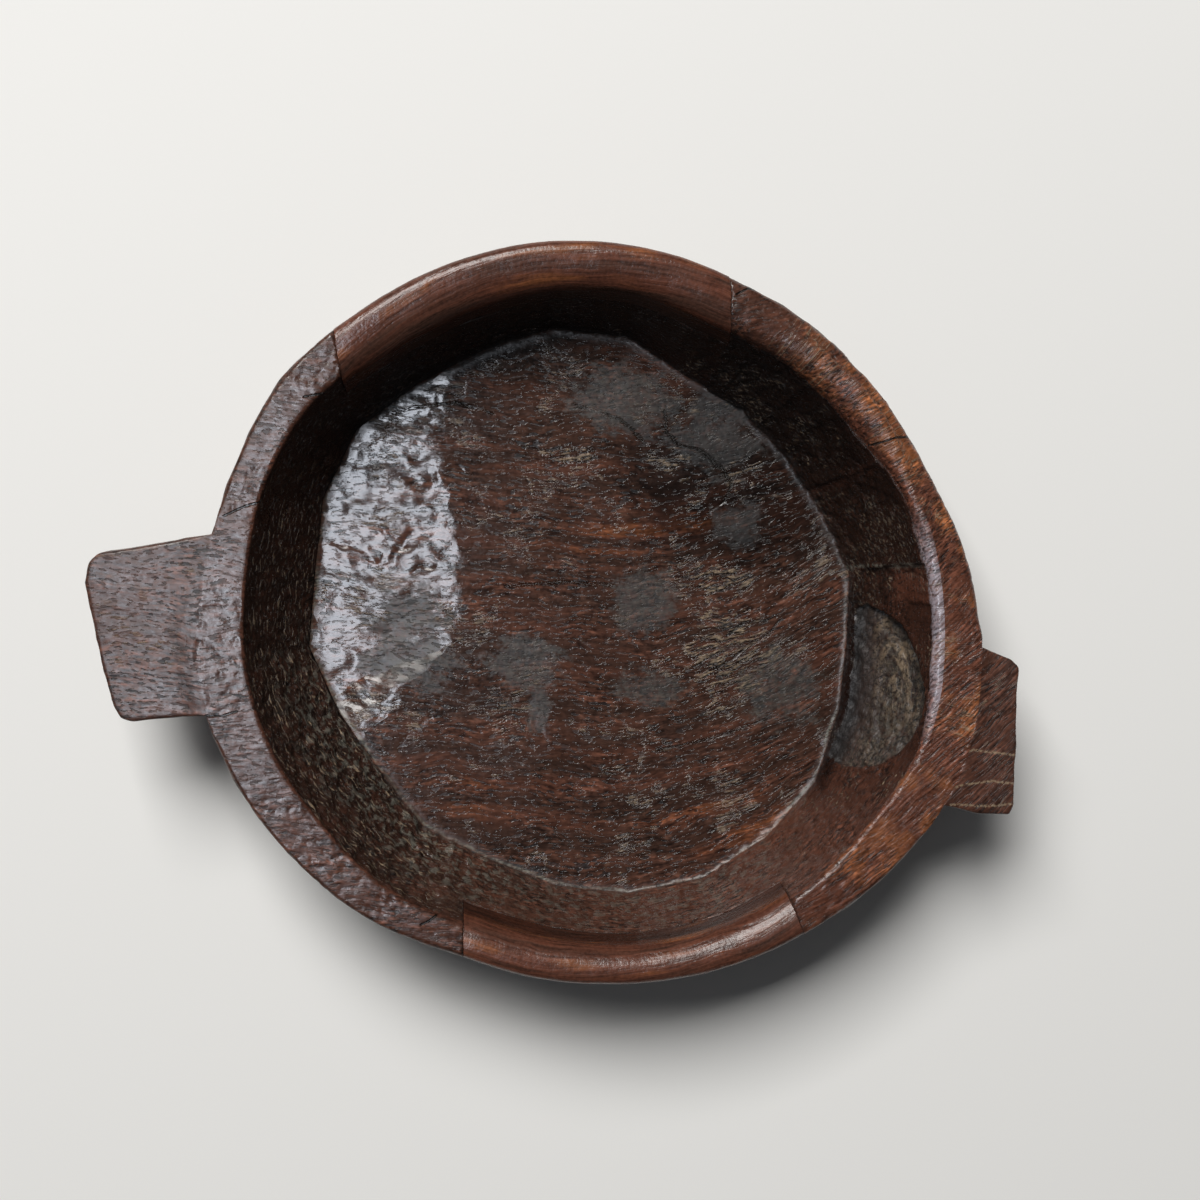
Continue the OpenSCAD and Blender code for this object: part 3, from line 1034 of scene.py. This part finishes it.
# Opens a material: its surface node and the place on the bowl in millimetres from its middle
def openMaterial(name):
    material = bpy.data.materials.new(name)
    material.use_nodes = True
    tree = material.node_tree
    surface = tree.nodes["Principled BSDF"]
    start = Wire(tree, tree.nodes.new("ShaderNodeTexCoord").outputs["Object"])
    shift = (-bowl["middle"][0], -bowl["middle"][1], 0)
    return material, surface, start.stretch((1000, 1000, 1000), shift)


def wear(surface, sockets):
    for key, value in sockets.items():
        if isinstance(value, Wire):
            value.tree.links.new(value.socket, surface.inputs[key])
        else:
            surface.inputs[key].default_value = value


# The strongest of many masks
def anyOf(masks):
    return reduce(Wire.most, masks)


# 1 inside an arc of the bowl given by its middle and half width in degrees
def arcMask(degrees, middle, half, fade=4):
    return (degrees - middle).wrapped().size().fall(half - fade, half + fade)


# 1 inside an ellipse on the floor with a ragged edge
def blob(x, y, ragged, place, size):
    u, v = (x - place[0]) / size[0], (y - place[1]) / size[1]
    return ((u * u + v * v).root() + ragged).fall(0.55, 1.1)


# Distance from a line through points, in millimetres
def strokeDistance(x, y, points):
    pieces = []
    for (ax, ay), (bx, by) in zip(points[:-1], points[1:]):
        ux, uy = bx - ax, by - ay
        along = ((x - ax) * ux + (y - ay) * uy) / (ux * ux + uy * uy)
        along = along.most(0.0).least(1.0)
        offX, offY = x - ax - along * ux, y - ay - along * uy
        pieces.append((offX * offX + offY * offY).root())
    return reduce(Wire.least, pieces)


# 1 on any of the lines, fading to 0 between two distances from it
def strokes(x, y, lines, near, far):
    return anyOf(strokeDistance(x, y, line).fall(near, far) for line in lines)


# Finish and linear colours of the old waxed wood; relief is the length of one step of height
waxed = {"rough": 0.3, "floorRough": 0.18, "leastRough": 0.16, "shine": 0.42, "relief": 0.001}
woodColours = {
    "dark": (0.019, 0.011, 0.008),
    "brown": (0.06, 0.027, 0.018),
    "red": (0.098, 0.034, 0.02),
    "orange": (0.19, 0.066, 0.024),
    "torn": (0.25, 0.18, 0.115),
    "matte": (0.056, 0.053, 0.043),
    "film": (0.15, 0.15, 0.125),
    # a painted bluish highlight for the rim's inner edge
    "edgeSheen": (0.46, 0.46, 0.54),
    "black": (0.004, 0.003, 0.002),
}
# Cracks of the rim and the lugs, and the pale end-grain lines of the right lug, in millimetres
cracks = [
    [(-205, 116), (-196, 119), (-188, 121)],
    [(-246, 34), (-235, 41), (-222, 47)],
    [(-242, -95), (-232, -94), (-223, -90)],
    [(61, 219), (68, 224), (77, 225)],
    [(-79, -207), (-83, -211), (-88, -214)],
    [(163, 135), (170, 138), (178, 142), (188, 144)],
]
# Dark creases of the floor, painted shade along small steps and scars
creases = [
    [(33, 142), (36, 128), (46, 120), (62, 118), (78, 108), (86, 98), (83, 86), (74, 78)],
    [(133, 10), (126, -2), (112, -12), (104, -22), (92, -30)],
    [(124, 8), (108, 4), (98, -6)],
    [(-60, 8), (-20, 16), (14, 18)],
    [(-140, 120), (-110, 128), (-84, 124)],
    [(-30, 138), (4, 132), (20, 120)],
    [(60, -92), (100, -78), (138, -58)],
]
lugLines = [
    [(246, -61), (259, -55), (279, -55), (291, -55)],
    [(239, -86), (255, -79), (274, -74), (292, -74)],
    [(249, -93), (273, -91), (293, -87)],
]
floorMarks = {
    "matte": [
        ((-123, -26), (27, 29)), ((-120, -52), (38, 22)), ((37, 11), (28, 25)), ((-40, -43), (29, 22)),
        ((5, 145), (44, 27)), ((69, 129), (36, 27)), ((96, 72), (20, 17)), ((139, -39), (34, 29)),
        ((49, -50), (24, 14)), ((-26, -74), (9, 17)),
    ],
    "red": [
        ((80, 70), (34, 20)), ((115, -140), (60, 26)), ((-75, -142), (34, 18)), ((10, 50), (44, 18)),
    ],
    "torn": [((102, -22), (32, 36)), ((-26, 103), (20, 7)), ((88, 30), (30, 14))],
}


# Facets of the right wall, by angle and by distance below the crest; the black ones are painted shade,
# the red one a redder tone of the wood
wallFacets = [
    {"from": 16.8, "to": 34, "top": 10, "low": 96, "tone": "black", "share": 0.5},
    {"from": 9.5, "to": 16, "top": 4, "low": 44, "tone": "red", "share": 0.55},
    {"from": 9, "to": 16, "top": 50, "low": 100, "tone": "black", "share": 0.45},
    {"from": 36, "to": 70, "top": 22, "low": 110, "tone": "black", "share": 0.4},
]
# Parts of the round in degrees: the middle, the half width and how far the ends fade
bowlArcs = {
    "rightRim": (10, 50, 14),
    "lowRim": (325, 36, 12),
    "rightWall": (5, 90, 22),
    "litWall": (290, 45, 16),
    "shadedWall": (95, 62, 16),
    "leftWall": (205, 42, 12),
    "quietWall": (290, 36, 10),
    "chippedLedge": (21, 6, 3),
    "slantCuts": (42, 34, 8),
    "underUpperArc": (109, 34, 2),
    "underLowerArc": (283, 28, 2),
    "rimChatter": (40, 30, 8),
    "lugChatter": (0, 14, 8),
    "flourLine": (268, 100, 30),
    "crust": (228, 34, 12),
    "thinCrust": (280, 36, 12),
    "underHollow": (350, 22, 6),
    "wornEdgeAndSheen": (6, 16, 6),
}
# The polished left part of the floor, whose shading leans to mirror a window, with its lower edge
polished = {"from": -88, "lean": 0.138, "narrowing": 26, "lowEdge": (-92, -36), "lowSlope": 0.6}


def makeBowlWood():
    material, surface, place = openMaterial("hewnWood")
    x, y, z = place.parts()
    degrees = y.angleOver(x) * (180 / math.pi)
    arc = degrees * (math.pi / 180 * wallRadius)
    isRim, isWall, isFloor, isLug = (attribute(place, key) for key in ("rim", "wall", "floor", "lug"))
    down, fromFloor, hollowHere = (attribute(place, key) for key in ("down", "fromFloor", "hollow"))
    tones = {key: colour(place, value) for key, value in woodColours.items()}
    at = {key: arcMask(degrees, *part) for key, part in bowlArcs.items()}

    # Grain runs from lug to lug and lifts towards the right side
    warp = place.noise((55, 40, 40)) - 0.5
    lift = (x - 20).most(0.0)
    grain = place.joined(x, y + warp * 16 - x * 0.08 - lift * lift * 0.0022, z)
    wallPlain = place.joined(arc, down, 0.0)
    bands = grain.noise((120, 13, 13), detail=3)
    streaks = grain.noise((50, 2.4, 2.4), (5, 9, 1), 3, 0.6)
    dashes = grain.noise((8, 2.3, 2.3), (4, 6, 8))
    fuzz = grain.noise((9, 2.6, 2.6), (3, 1, 8)) * (1 - isWall)
    fuzz = fuzz + wallPlain.noise((8, 2.4, 1), (3, 8, 2)) * isWall
    clouds = place.noise((34, 34, 34), (8, 3, 2), 3, 0.6)
    busy = place.noise((30, 24, 24), (5, 2, 9)).rise(0.4, 0.6)
    grit = place.noise((2, 2, 2))
    mesh = place.noise((1 / 0.34, 1 / 0.34, 1 / 0.34), (7, 1, 3))
    ragged = (place.noise((18, 13, 13), (3, 6, 1), 4, 0.75) - 0.5) * 2.6

    def patches(key):
        return anyOf(blob(x, y, ragged, middle, size) for middle, size in floorMarks[key]) * isFloor

    matte, redZone, tornZone = patches("matte"), patches("red"), patches("torn")

    # Dark heartwood, redder and more orange on the right rim and in the red parts of the floor, with
    # painted shade on the inner walls
    tone = tones["dark"].towards(tones["brown"], 0.5 + 0.5 * bands.rise(0.38, 0.6))
    warm = (bands.rise(0.42, 0.7) * (0.4 + redZone * 0.6)).most(isWall * at["rightWall"] * 0.5)
    warm = warm.most((isRim + isLug) * 0.45)
    warm = warm.most((isRim * (at["rightRim"] + at["lowRim"])).least(1.0) * 0.8)
    tone = tone.towards(tones["red"], warm * (0.6 + 0.4 * streaks.rise(0.3, 0.6)))
    glow = (isRim * at["rightRim"] * clouds.rise(0.45, 0.62)).most(redZone * bands.rise(0.5, 0.7))
    tone = tone.towards(tones["orange"], glow * (0.55 + isRim * 0.25))
    fine = streaks.rise(0.36, 0.64) * 0.4 + dashes.rise(0.38, 0.62) * 0.45 + mesh.rise(0.36, 0.64) * 0.4
    shine = fuzz.rise(0.52, 0.68) - fuzz.fall(0.34, 0.48) * 0.5
    contrast = 0.4 + busy * 0.5 - isWall * 0.2
    # darker over a broad patch of the upper-right floor
    gloom = 1 - blob(x, y, ragged * 0.4, (95, 105), (100, 78)) * isFloor * 0.72
    # painted shade: the inner walls darkened, least round the lower wall and most round the upper wall
    shade = 1 - isWall * (0.45 - at["litWall"] * 0.55 + at["shadedWall"] * 0.38)
    shade = shade * gloom * (1 + isRim * at["rightRim"] * 0.3)
    tone = tone.times((0.92 + (fine - 0.62) * contrast) * (1 + shine * contrast * 1.2) * shade)

    # Torn grain: pale flecks, on the floor with a painted shadow beside each, along the grain on the
    # floor, along the arc on the wall
    fleck = grain.noise((11, 3, 3), (2, 2, 5), 3, 0.65)
    # the same noise a little shifted, where the painted shadows of the floor's flecks fall
    under = grain.noise((11, 3, 3), (2.06, 2.5, 5), 3, 0.65)
    gate = (clouds.rise(0.53, 0.63) * 0.6).most(tornZone) * isFloor
    floorTorn = (fleck + tornZone * 0.035).rise(0.55, 0.63) * gate
    fleckShadow = (under + tornZone * 0.035).rise(0.52, 0.61) * gate
    sway = (place.noise((18, 18, 18), detail=1) - 0.5) * 9
    wallPlace = place.joined(arc + sway, down + sway * 0.6, 0.0)
    ledgeChips = at["chippedLedge"] * down.rise(8, 20) * down.fall(48, 62)
    chipGate = clouds.rise(0.5, 0.6).most(at["leftWall"] * 0.7).most(ledgeChips) * isWall
    chips = wallPlace.noise((4.6, 2, 1), (4, 1, 0), 3, 0.65).rise(0.57, 0.64) * chipGate
    scratch = wallPlace.noise((11, 2.6, 1), (8, 3, 5), 1, 0.4).rise(0.63, 0.68)
    chips = chips.most(scratch * at["leftWall"] * isWall)
    slant = place.joined(arc + down * 0.9, down - arc * 0.7, 0.0)
    cuts = slant.noise((9, 2.2, 1), (9, 1, 4), 3, 0.6).rise(0.58, 0.64)
    cuts = cuts * clouds.rise(0.48, 0.58) * isWall * at["slantCuts"]
    underArcs = (at["underUpperArc"] * down.fall(26, 30)).most(at["underLowerArc"] * down.fall(26, 30))
    wallTorn = chips.most(cuts) * (1 - underArcs) * (1 - at["quietWall"] * 0.6)
    chatter = place.joined(arc, down * 26, 0.0).noise((2, 14, 1), (7, 2, 1), 3, 0.65)
    rimTorn = chatter.rise(0.53, 0.64) * clouds.rise(0.4, 0.58) * isRim
    rimTorn = rimTorn * (at["rimChatter"] * 0.9 + at["lugChatter"] * 0.7)
    lugTorn = fleck.rise(0.57, 0.66) * clouds.rise(0.5, 0.62) * isLug * 0.6
    torn = anyOf([floorTorn, wallTorn, rimTorn, lugTorn])
    # painted shadow beside each fleck of the floor
    tone = tone.towards(tones["black"], fleckShadow * 0.75)
    tone = tone.towards(tones["torn"], torn * (0.45 + 0.55 * grit.rise(0.35, 0.65)))

    # Matte patches, the pale line of old flour where the wall meets the floor, and the crust above it
    cloth = place.noise((5, 4, 4), (2, 9, 5), 4, 0.7).rise(0.36, 0.56)
    stain = tones["matte"].times(0.22 + mesh.rise(0.36, 0.64) * 0.6 + dashes.rise(0.38, 0.62) * 0.5)
    tone = tone.towards(stain.times(gloom * 0.7), matte * (0.08 + 0.6 * cloth))
    flour = (fromFloor + (clouds - 0.5) * 5 + 1.3).size().fall(0.4, 1.5)
    flour = flour * (0.3 + 0.7 * mesh.rise(0.42, 0.58)) * (0.3 + clouds.rise(0.4, 0.6) * 0.4)
    tone = tone.towards(tones["film"], flour * at["flourLine"])
    crust = wallPlain.noise((7, 6.5, 1), (1, 5, 3), 3, 0.55)
    lowWall = fromFloor.rise(-1, 4) * fromFloor.fall(24, 78) * isWall
    lowWall = lowWall * at["crust"].most(at["thinCrust"] * 0.55)
    tone = tone.towards(tones["film"], lowWall * crust.rise(0.5, 0.6) * 0.5)
    turned = degrees + (clouds - 0.5) * 5
    # painted shade on the black facets of the right wall, a redder tone on the red one
    for facet in wallFacets:
        shown = turned.between(facet["from"], facet["to"], 0.6, 1.5)
        shown = shown * down.between(facet["top"], facet["low"], 3, 4)
        tone = tone.towards(tones[facet["tone"]], shown * isWall * facet["share"])
    ledge = (degrees + (fuzz - 0.5) * 2 - 16.5).size().fall(0.25, 0.75) * down.rise(6, 20) * isWall
    tone = tone.towards(tones["film"], ledge * mesh.rise(0.4, 0.56) * 0.5)

    # The knot hollow: swirling grain, paler to the right, with a dark bank round it and painted shadow
    # on the bank towards the crest
    offArc = (degrees - knotHollow["angle"]).wrapped() * 0.07
    offDown = (down - 52) / 34
    rings = ((offArc * offArc + offDown * offDown).root() + (clouds - 0.5) * 0.5) * 5.5
    pale = place.joined(rings, offDown.angleOver(offArc), 0.0).noise((1, 1, 1), (0, 0, 0), 3, 0.55)
    inHollow = hollowHere.rise(0.25, 0.55)
    bank = hollowHere.rise(0.01, 0.06) * (1 - inHollow)
    tone = tone.towards(tones["dark"], bank * 0.85)
    tone = tone.towards(stain, inHollow * (0.35 + 0.35 * cloth))
    tanHere = inHollow * pale.rise(0.45, 0.6) * (0.15 + 0.5 * offArc.rise(-0.5, 0.6))
    tone = tone.towards(tones["torn"], tanHere * mesh.rise(0.3, 0.56))
    # painted shadow on the hollow's bank towards the crest
    bankShadow = (offArc * 0.5 - offDown * 0.85).rise(0.35, 0.95) * hollowHere.rise(0.02, 0.1)
    tone = tone.towards(tones["black"], bankShadow * 0.75)
    # painted shade on the foot of the wall below the hollow, next to the floor
    tone = tone.times(1 - isWall * at["underHollow"] * fromFloor.fall(10, 20) * 0.75)

    # The worn inner edge of the rim, polished smoother, with a painted bluish highlight along it
    wornEdgeAndSheen = (down.fall(3, 5.5) * isWall).most(isRim * down.rise(0.986, 0.996)) * at["wornEdgeAndSheen"]
    wornEdgeAndSheen = wornEdgeAndSheen * clouds.rise(0.25, 0.5) * (0.3 + 0.7 * fuzz.rise(0.38, 0.58))
    tone = tone.towards(tones["edgeSheen"], wornEdgeAndSheen * 0.55)

    # Pores and cracks stay dark and the creases of the floor get painted shade; the end grain of the
    # right lug is pale
    pores = grain.noise((6, 2, 2), (6, 1, 2)).rise(0.56, 0.62)
    tone = tone.times(1 - pores * (0.3 + busy * 0.4))
    jitter = (grain.noise((11, 1 / 1.5, 1 / 1.5), (1, 4, 7), 2, 0.6) - 0.5) * 3
    split = strokes(x + jitter, y + jitter, cracks, 0.3, 1.0) * (isRim + isLug).least(1.0)
    # painted shade along the creases of the floor
    fold = strokes(x + jitter * 2, y + jitter * 2, creases, 0.2, 1.5) * isFloor
    split = split.most(fold * clouds.rise(0.3, 0.5) * 0.8)
    pith = strokes(x, y + jitter, lugLines, 0.3, 1.1) * isLug
    tone = tone.towards(tones["torn"], pith * grit.rise(0.35, 0.55) * 0.8)
    tone = tone.towards(tones["black"], split * 0.95)

    # How far a place lies inside the polished part, and the lean of its shading
    lobes = place.noise((20, 15, 15), (2, 5, 8), 1, 0.4)
    edgeX, edgeY = polished["lowEdge"]
    past = polished["from"] - x - y.rise(0, 110) * polished["narrowing"] + (lobes - 0.5) * 24
    below = (y - edgeY - (x - edgeX) * polished["lowSlope"] + (lobes - 0.5) * 20).least(0.0)
    past = (past + below * 1.4).most(0.0)
    leaning = past * past / (past + 9) * (polished["lean"] - past * 0.0003) * isFloor
    glossy = past.rise(0, 14) * isFloor * (1 - matte) * (1 - y.rise(80, 150) * 0.6)

    # Roughness
    rough = waxed["rough"] + isFloor * (waxed["floorRough"] - waxed["rough"])
    rough = rough - glossy * lobes.rise(0.36, 0.56) * 0.06 + isLug * 0.07
    rough = rough + bank * 0.3 + matte * 0.22 + torn * 0.3 + inHollow * 0.2 + pores * 0.15
    rough = rough - wornEdgeAndSheen * 0.08
    spread = (streaks - 0.5) * 0.16 + (clouds - 0.5) * 0.2 + (mesh - 0.5) * 0.3
    rough = rough + spread * (1 - isFloor * 0.5) + fromFloor.size().fall(2, 7) * 0.2

    # Relief that is too small for the mesh, in millimetres
    weave = place.noise((1 / 0.26, 1 / 0.3, 1 / 0.28), (4, 4, 4), 1, 0.45)
    coarse = grain.noise((10, 4, 4), (9, 2, 3), 1, 0.45)
    polish = 0.2 + isWall * 0.4 - isFloor * (0.09 - busy * 0.11) + (isRim + isLug) * 0.14
    polish = polish + isRim * at["rightRim"] * 0.5
    height = (weave - 0.5) * (0.75 - (isRim + isLug) * 0.5) + (coarse - 0.5) * 0.8
    height = height + (dashes - 0.5) * 0.45 + (mesh - 0.5) * 0.3 + (fuzz - 0.5) * (0.35 + isWall * 0.6)
    height = height * polish - pores * 0.14 + torn * 0.4
    height = height + (chatter - 0.5) * 0.8 * isRim * at["rightRim"] + (chips - cuts) * 0.35
    height = height * (1 - glossy * 0.42) * (1 - wornEdgeAndSheen * 0.8) - leaning
    height = height + lowWall * (crust - 0.5) * 3 + (pale - 0.5) * inHollow * 2.2
    height = height - split * 0.8 - fleckShadow * 0.35
    sockets = {"Strength": 1.0, "Distance": waxed["relief"], "Height": height}
    bump = place.node("ShaderNodeBump", None, sockets)
    wear(surface, {
        "Base Color": tone, "Roughness": rough.most(waxed["leastRough"]),
        "Specular IOR Level": waxed["shine"], "Normal": bump,
    })
    return material


def makeArcWood():
    material, surface, place = openMaterial("insertWood")
    x, y, z = place.parts()
    arc = y.angleOver(x) * smoothRim["grainRadius"]
    radius = (x * x + y * y).root()
    tones = {key: colour(place, woodColours[key]) for key in ("brown", "red", "orange")}
    warp = (place.noise((50, 50, 30)) - 0.5) * 9
    grain = place.joined(arc, radius + warp, z + warp)
    bands = grain.noise((130, 9, 9), detail=3, rough=0.6)
    streaks = grain.noise((45, 1.9, 1.9), (3, 7, 2), 3, 0.6)
    clouds = place.noise((45, 45, 30), (1, 8, 2))
    fine = place.noise((1 / 0.42, 1 / 0.42, 1 / 0.42))
    tone = tones["brown"].towards(tones["red"], bands.rise(0.32, 0.56))
    tone = tone.towards(tones["orange"], bands.rise(0.5, 0.68) * clouds.rise(0.42, 0.6) * 0.8)
    # painted shade: the arcs darker towards the bottom, down their inner wall
    deep = 1 - z.fall(90, 103) * 0.6
    tone = tone.times((0.48 + streaks.rise(0.3, 0.7) * 0.68 + fine.rise(0.3, 0.7) * 0.34) * deep)
    rough = 0.27 + (streaks - 0.5) * 0.16 + (clouds - 0.5) * 0.14
    height = (streaks - 0.5) * 0.3 + (fine - 0.5) * 0.22
    sockets = {"Strength": 1.0, "Distance": waxed["relief"], "Height": height}
    bump = place.node("ShaderNodeBump", None, sockets)
    wear(surface, {
        "Base Color": tone, "Roughness": rough, "Specular IOR Level": waxed["shine"], "Normal": bump,
    })
    return material


def makePegWood():
    material, surface, place = openMaterial("pegWood")
    tones = [colour(place, value) for value in ((0.2, 0.12, 0.06), (0.34, 0.22, 0.12))]
    streaks = place.noise((1.1, 1.1, 22), detail=3, rough=0.6)
    bump = place.node("ShaderNodeBump", None, {"Strength": 0.6, "Distance": 0.0003, "Height": streaks})
    wear(surface, {
        "Base Color": tones[0].towards(tones[1], streaks.rise(0.3, 0.7)),
        "Roughness": 0.55 + streaks * 0.2, "Normal": bump,
    })
    return material


# Geometry Nodes: small torn marks and pits pressed into the hewn faces
tooth = {
    "Mark Length": 0.014,
    "Mark Width": 0.0028,
    "Mark Depth": 0.00009,
    "Pit Size": 0.0055,
    "Pit Depth": 0.0011,
    "Seed": 12.0,
}


def makeToothTree(material):
    tree = bpy.data.node_groups.new("toolMarks", "GeometryNodeTree")
    tree.interface.new_socket("Geometry", in_out="INPUT", socket_type="NodeSocketGeometry")
    for key, value in tooth.items():
        socket = tree.interface.new_socket(key, in_out="INPUT", socket_type="NodeSocketFloat")
        socket.default_value = value
    tree.interface.new_socket("Geometry", in_out="OUTPUT", socket_type="NodeSocketGeometry")
    entry = tree.nodes.new("NodeGroupInput")
    given = {socket.name: Wire(tree, socket) for socket in entry.outputs if socket.name}
    shape = given["Geometry"]

    def named(key):
        return shape.node("GeometryNodeInputNamedAttribute", {"data_type": "FLOAT"}, {"Name": key})

    place = shape.node("GeometryNodeInputPosition")
    normal = shape.node("GeometryNodeInputNormal")
    x, y, z = place.parts()
    seed = given["Seed"]

    def noiseAt(vector, detail):
        sockets = {"Vector": vector, "W": seed, "Scale": 1.0, "Detail": detail, "Roughness": 0.55}
        return place.node("ShaderNodeTexNoise", {"noise_dimensions": "4D"}, sockets)

    grain = place.joined(x / given["Mark Length"], y / given["Mark Width"], z / given["Mark Width"])
    marks = noiseAt(grain, 1.0).rise(0.55, 0.66)
    where = noiseAt(place.stretch((26, 30, 30)), 2.0)
    marks = marks * where.rise(0.45, 0.6) * (named("floor") + named("lug") * 0.7)
    ring = place.joined(x / given["Pit Size"], y / given["Pit Size"], z / given["Pit Size"] * 0.6)
    pits = noiseAt(ring, 1.0).rise(0.5, 0.68) * where.rise(0.4, 0.55)
    pits = pits * (named("wall") + named("rim") * 0.45)
    depth = marks * given["Mark Depth"] + pits * given["Pit Depth"]
    offset = normal.vector("MULTIPLY", normal, place.joined(0 - depth, 0 - depth, 0 - depth))
    pressed = shape.node("GeometryNodeSetPosition", None, {"Geometry": shape, "Offset": offset})
    whole = pressed.node("GeometryNodeRealizeInstances", None, {0: pressed})
    painted = whole.node("GeometryNodeSetMaterial", None, {"Geometry": whole, "Material": material})
    leave = tree.nodes.new("NodeGroupOutput")
    tree.links.new(painted.socket, leave.inputs[0])
    return tree


def pressMarks(obj, material):
    tree = makeToothTree(material)
    step = obj.modifiers.new("toolMarks", "NODES")
    step.node_group = tree
    for item in tree.interface.items_tree:
        if item.item_type == "SOCKET" and item.in_out == "INPUT" and item.name in tooth:
            step[item.identifier] = tooth[item.name]
    settle(obj)


def dress(obj, material):
    obj.data.materials.clear()
    obj.data.materials.append(material)


# Camera: over the bowl, turned so that the lugs drop to the right; lengths in millimetres
shot = {
    "distance": 1250,
    "pixel": 0.6485,
    "picture": 1200,
    "middlePixel": (598, 618),
    "roll": 7.7,
    "tiltUp": 4,
    "tiltLeft": 4,
    "sensor": 36,
}


def makeCamera():
    roll = math.radians(shot["roll"])
    right = Vector((math.cos(roll), math.sin(roll), 0))
    up = Vector((-math.sin(roll), math.cos(roll), 0))
    offX = (shot["picture"] / 2 - shot["middlePixel"][0]) * shot["pixel"]
    offY = (shot["middlePixel"][1] - shot["picture"] / 2) * shot["pixel"]
    rimMiddle = Vector((*bowl["middle"], bowl["height"]))
    target = rimMiddle + right * offX + up * offY
    side, rise = math.radians(shot["tiltLeft"]), math.radians(shot["tiltUp"])
    back = (Vector((0, 0, 1)) - right * math.tan(side) + up * math.tan(rise)).normalized()
    data = bpy.data.cameras.new("camera")
    data.sensor_width = shot["sensor"]
    data.lens = shot["sensor"] * shot["distance"] / (shot["picture"] * shot["pixel"])
    data.clip_end = 20
    cam = bpy.data.objects.new("camera", data)
    bpy.context.scene.collection.objects.link(cam)
    cam.location = (target + back * shot["distance"]) * mm
    upSeen = (up - back * up.dot(back)).normalized()
    rightSeen = upSeen.cross(back)
    axes = (rightSeen, upSeen, back)
    cam.rotation_euler = Matrix([[v[k] for v in axes] for k in range(3)]).to_euler()
    bpy.context.scene.camera = cam


lights = {
    "key": {
        "turn": 114, "rise": 52, "away": 6000, "size": (2800, 2800),
        "power": 450, "tint": (1.0, 0.985, 0.96),
    },
    "window": {
        "place": (-470, -155, 1350), "size": (300, 650),
        "power": 10.6, "tint": (0.84, 0.9, 1.0), "lights": False,
    },
}


def makeLights():
    roll = math.radians(shot["roll"])
    middle = Vector((*bowl["middle"], bowl["height"]))
    for name, light in lights.items():
        if "place" in light:
            place = middle + Vector(light["place"])
            way = Vector((0, 0, 1))
        else:
            turned = math.radians(light["turn"]) + roll
            rise = math.radians(light["rise"])
            way = Vector((math.cos(turned), math.sin(turned), math.tan(rise))).normalized()
            place = middle + way * light["away"]
        data = bpy.data.lights.new(name, "AREA")
        data.shape = "RECTANGLE"
        data.size, data.size_y = (side * mm for side in light["size"])
        data.energy = light["power"]
        data.color = light["tint"]
        obj = bpy.data.objects.new(name, data)
        bpy.context.scene.collection.objects.link(obj)
        obj.location = place * mm
        obj.rotation_euler = way.to_track_quat("Z", "Y").to_euler()
        obj.visible_diffuse = light.get("lights", True)
    world = bpy.data.worlds.new("room")
    bpy.context.scene.world = world
    world.use_nodes = True
    back = world.node_tree.nodes["Background"]
    back.inputs["Color"].default_value = (0.95, 0.97, 1, 1)
    back.inputs["Strength"].default_value = 0.05
    bpy.context.scene.view_settings.view_transform = "Standard"


def makeFloor():
    size = 4
    mesh = bpy.data.meshes.new("tableTop")
    corners = [(-size, -size, 0), (size, -size, 0), (size, size, 0), (-size, size, 0)]
    mesh.from_pydata(corners, [], [(0, 1, 2, 3)])
    obj = bpy.data.objects.new("tableTop", mesh)
    bpy.context.scene.collection.objects.link(obj)
    material = bpy.data.materials.new("pale")
    material.use_nodes = True
    surface = material.node_tree.nodes["Principled BSDF"]
    surface.inputs["Base Color"].default_value = (0.8, 0.8, 0.79, 1)
    surface.inputs["Roughness"].default_value = 0.9
    mesh.materials.append(material)


hewn = makeBowl()
print("hewn form:", len(hewn.data.polygons), "faces")
hewnWood, arcWood, pegWood = makeBowlWood(), makeArcWood(), makePegWood()
pressMarks(hewn, hewnWood)
arcs = fitTogether()
thin(hewn, 190000)
dress(hewn, hewnWood)
for arc in arcs:
    thin(arc, 90000)
    dress(arc, arcWood)
print("pieces fitted together")

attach(hewn, "root")
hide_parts("bowl_body")
for arc, which in zip(arcs, ("upper", "lower")):
    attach(arc, "root")
    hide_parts(which + "_rim_insert")
for obj in bpy.context.scene.objects:
    if obj.type == "MESH" and "_rim_peg_" in obj.name:
        dress(obj, pegWood)
print("materials set")

makeCamera()
makeLights()
makeFloor()
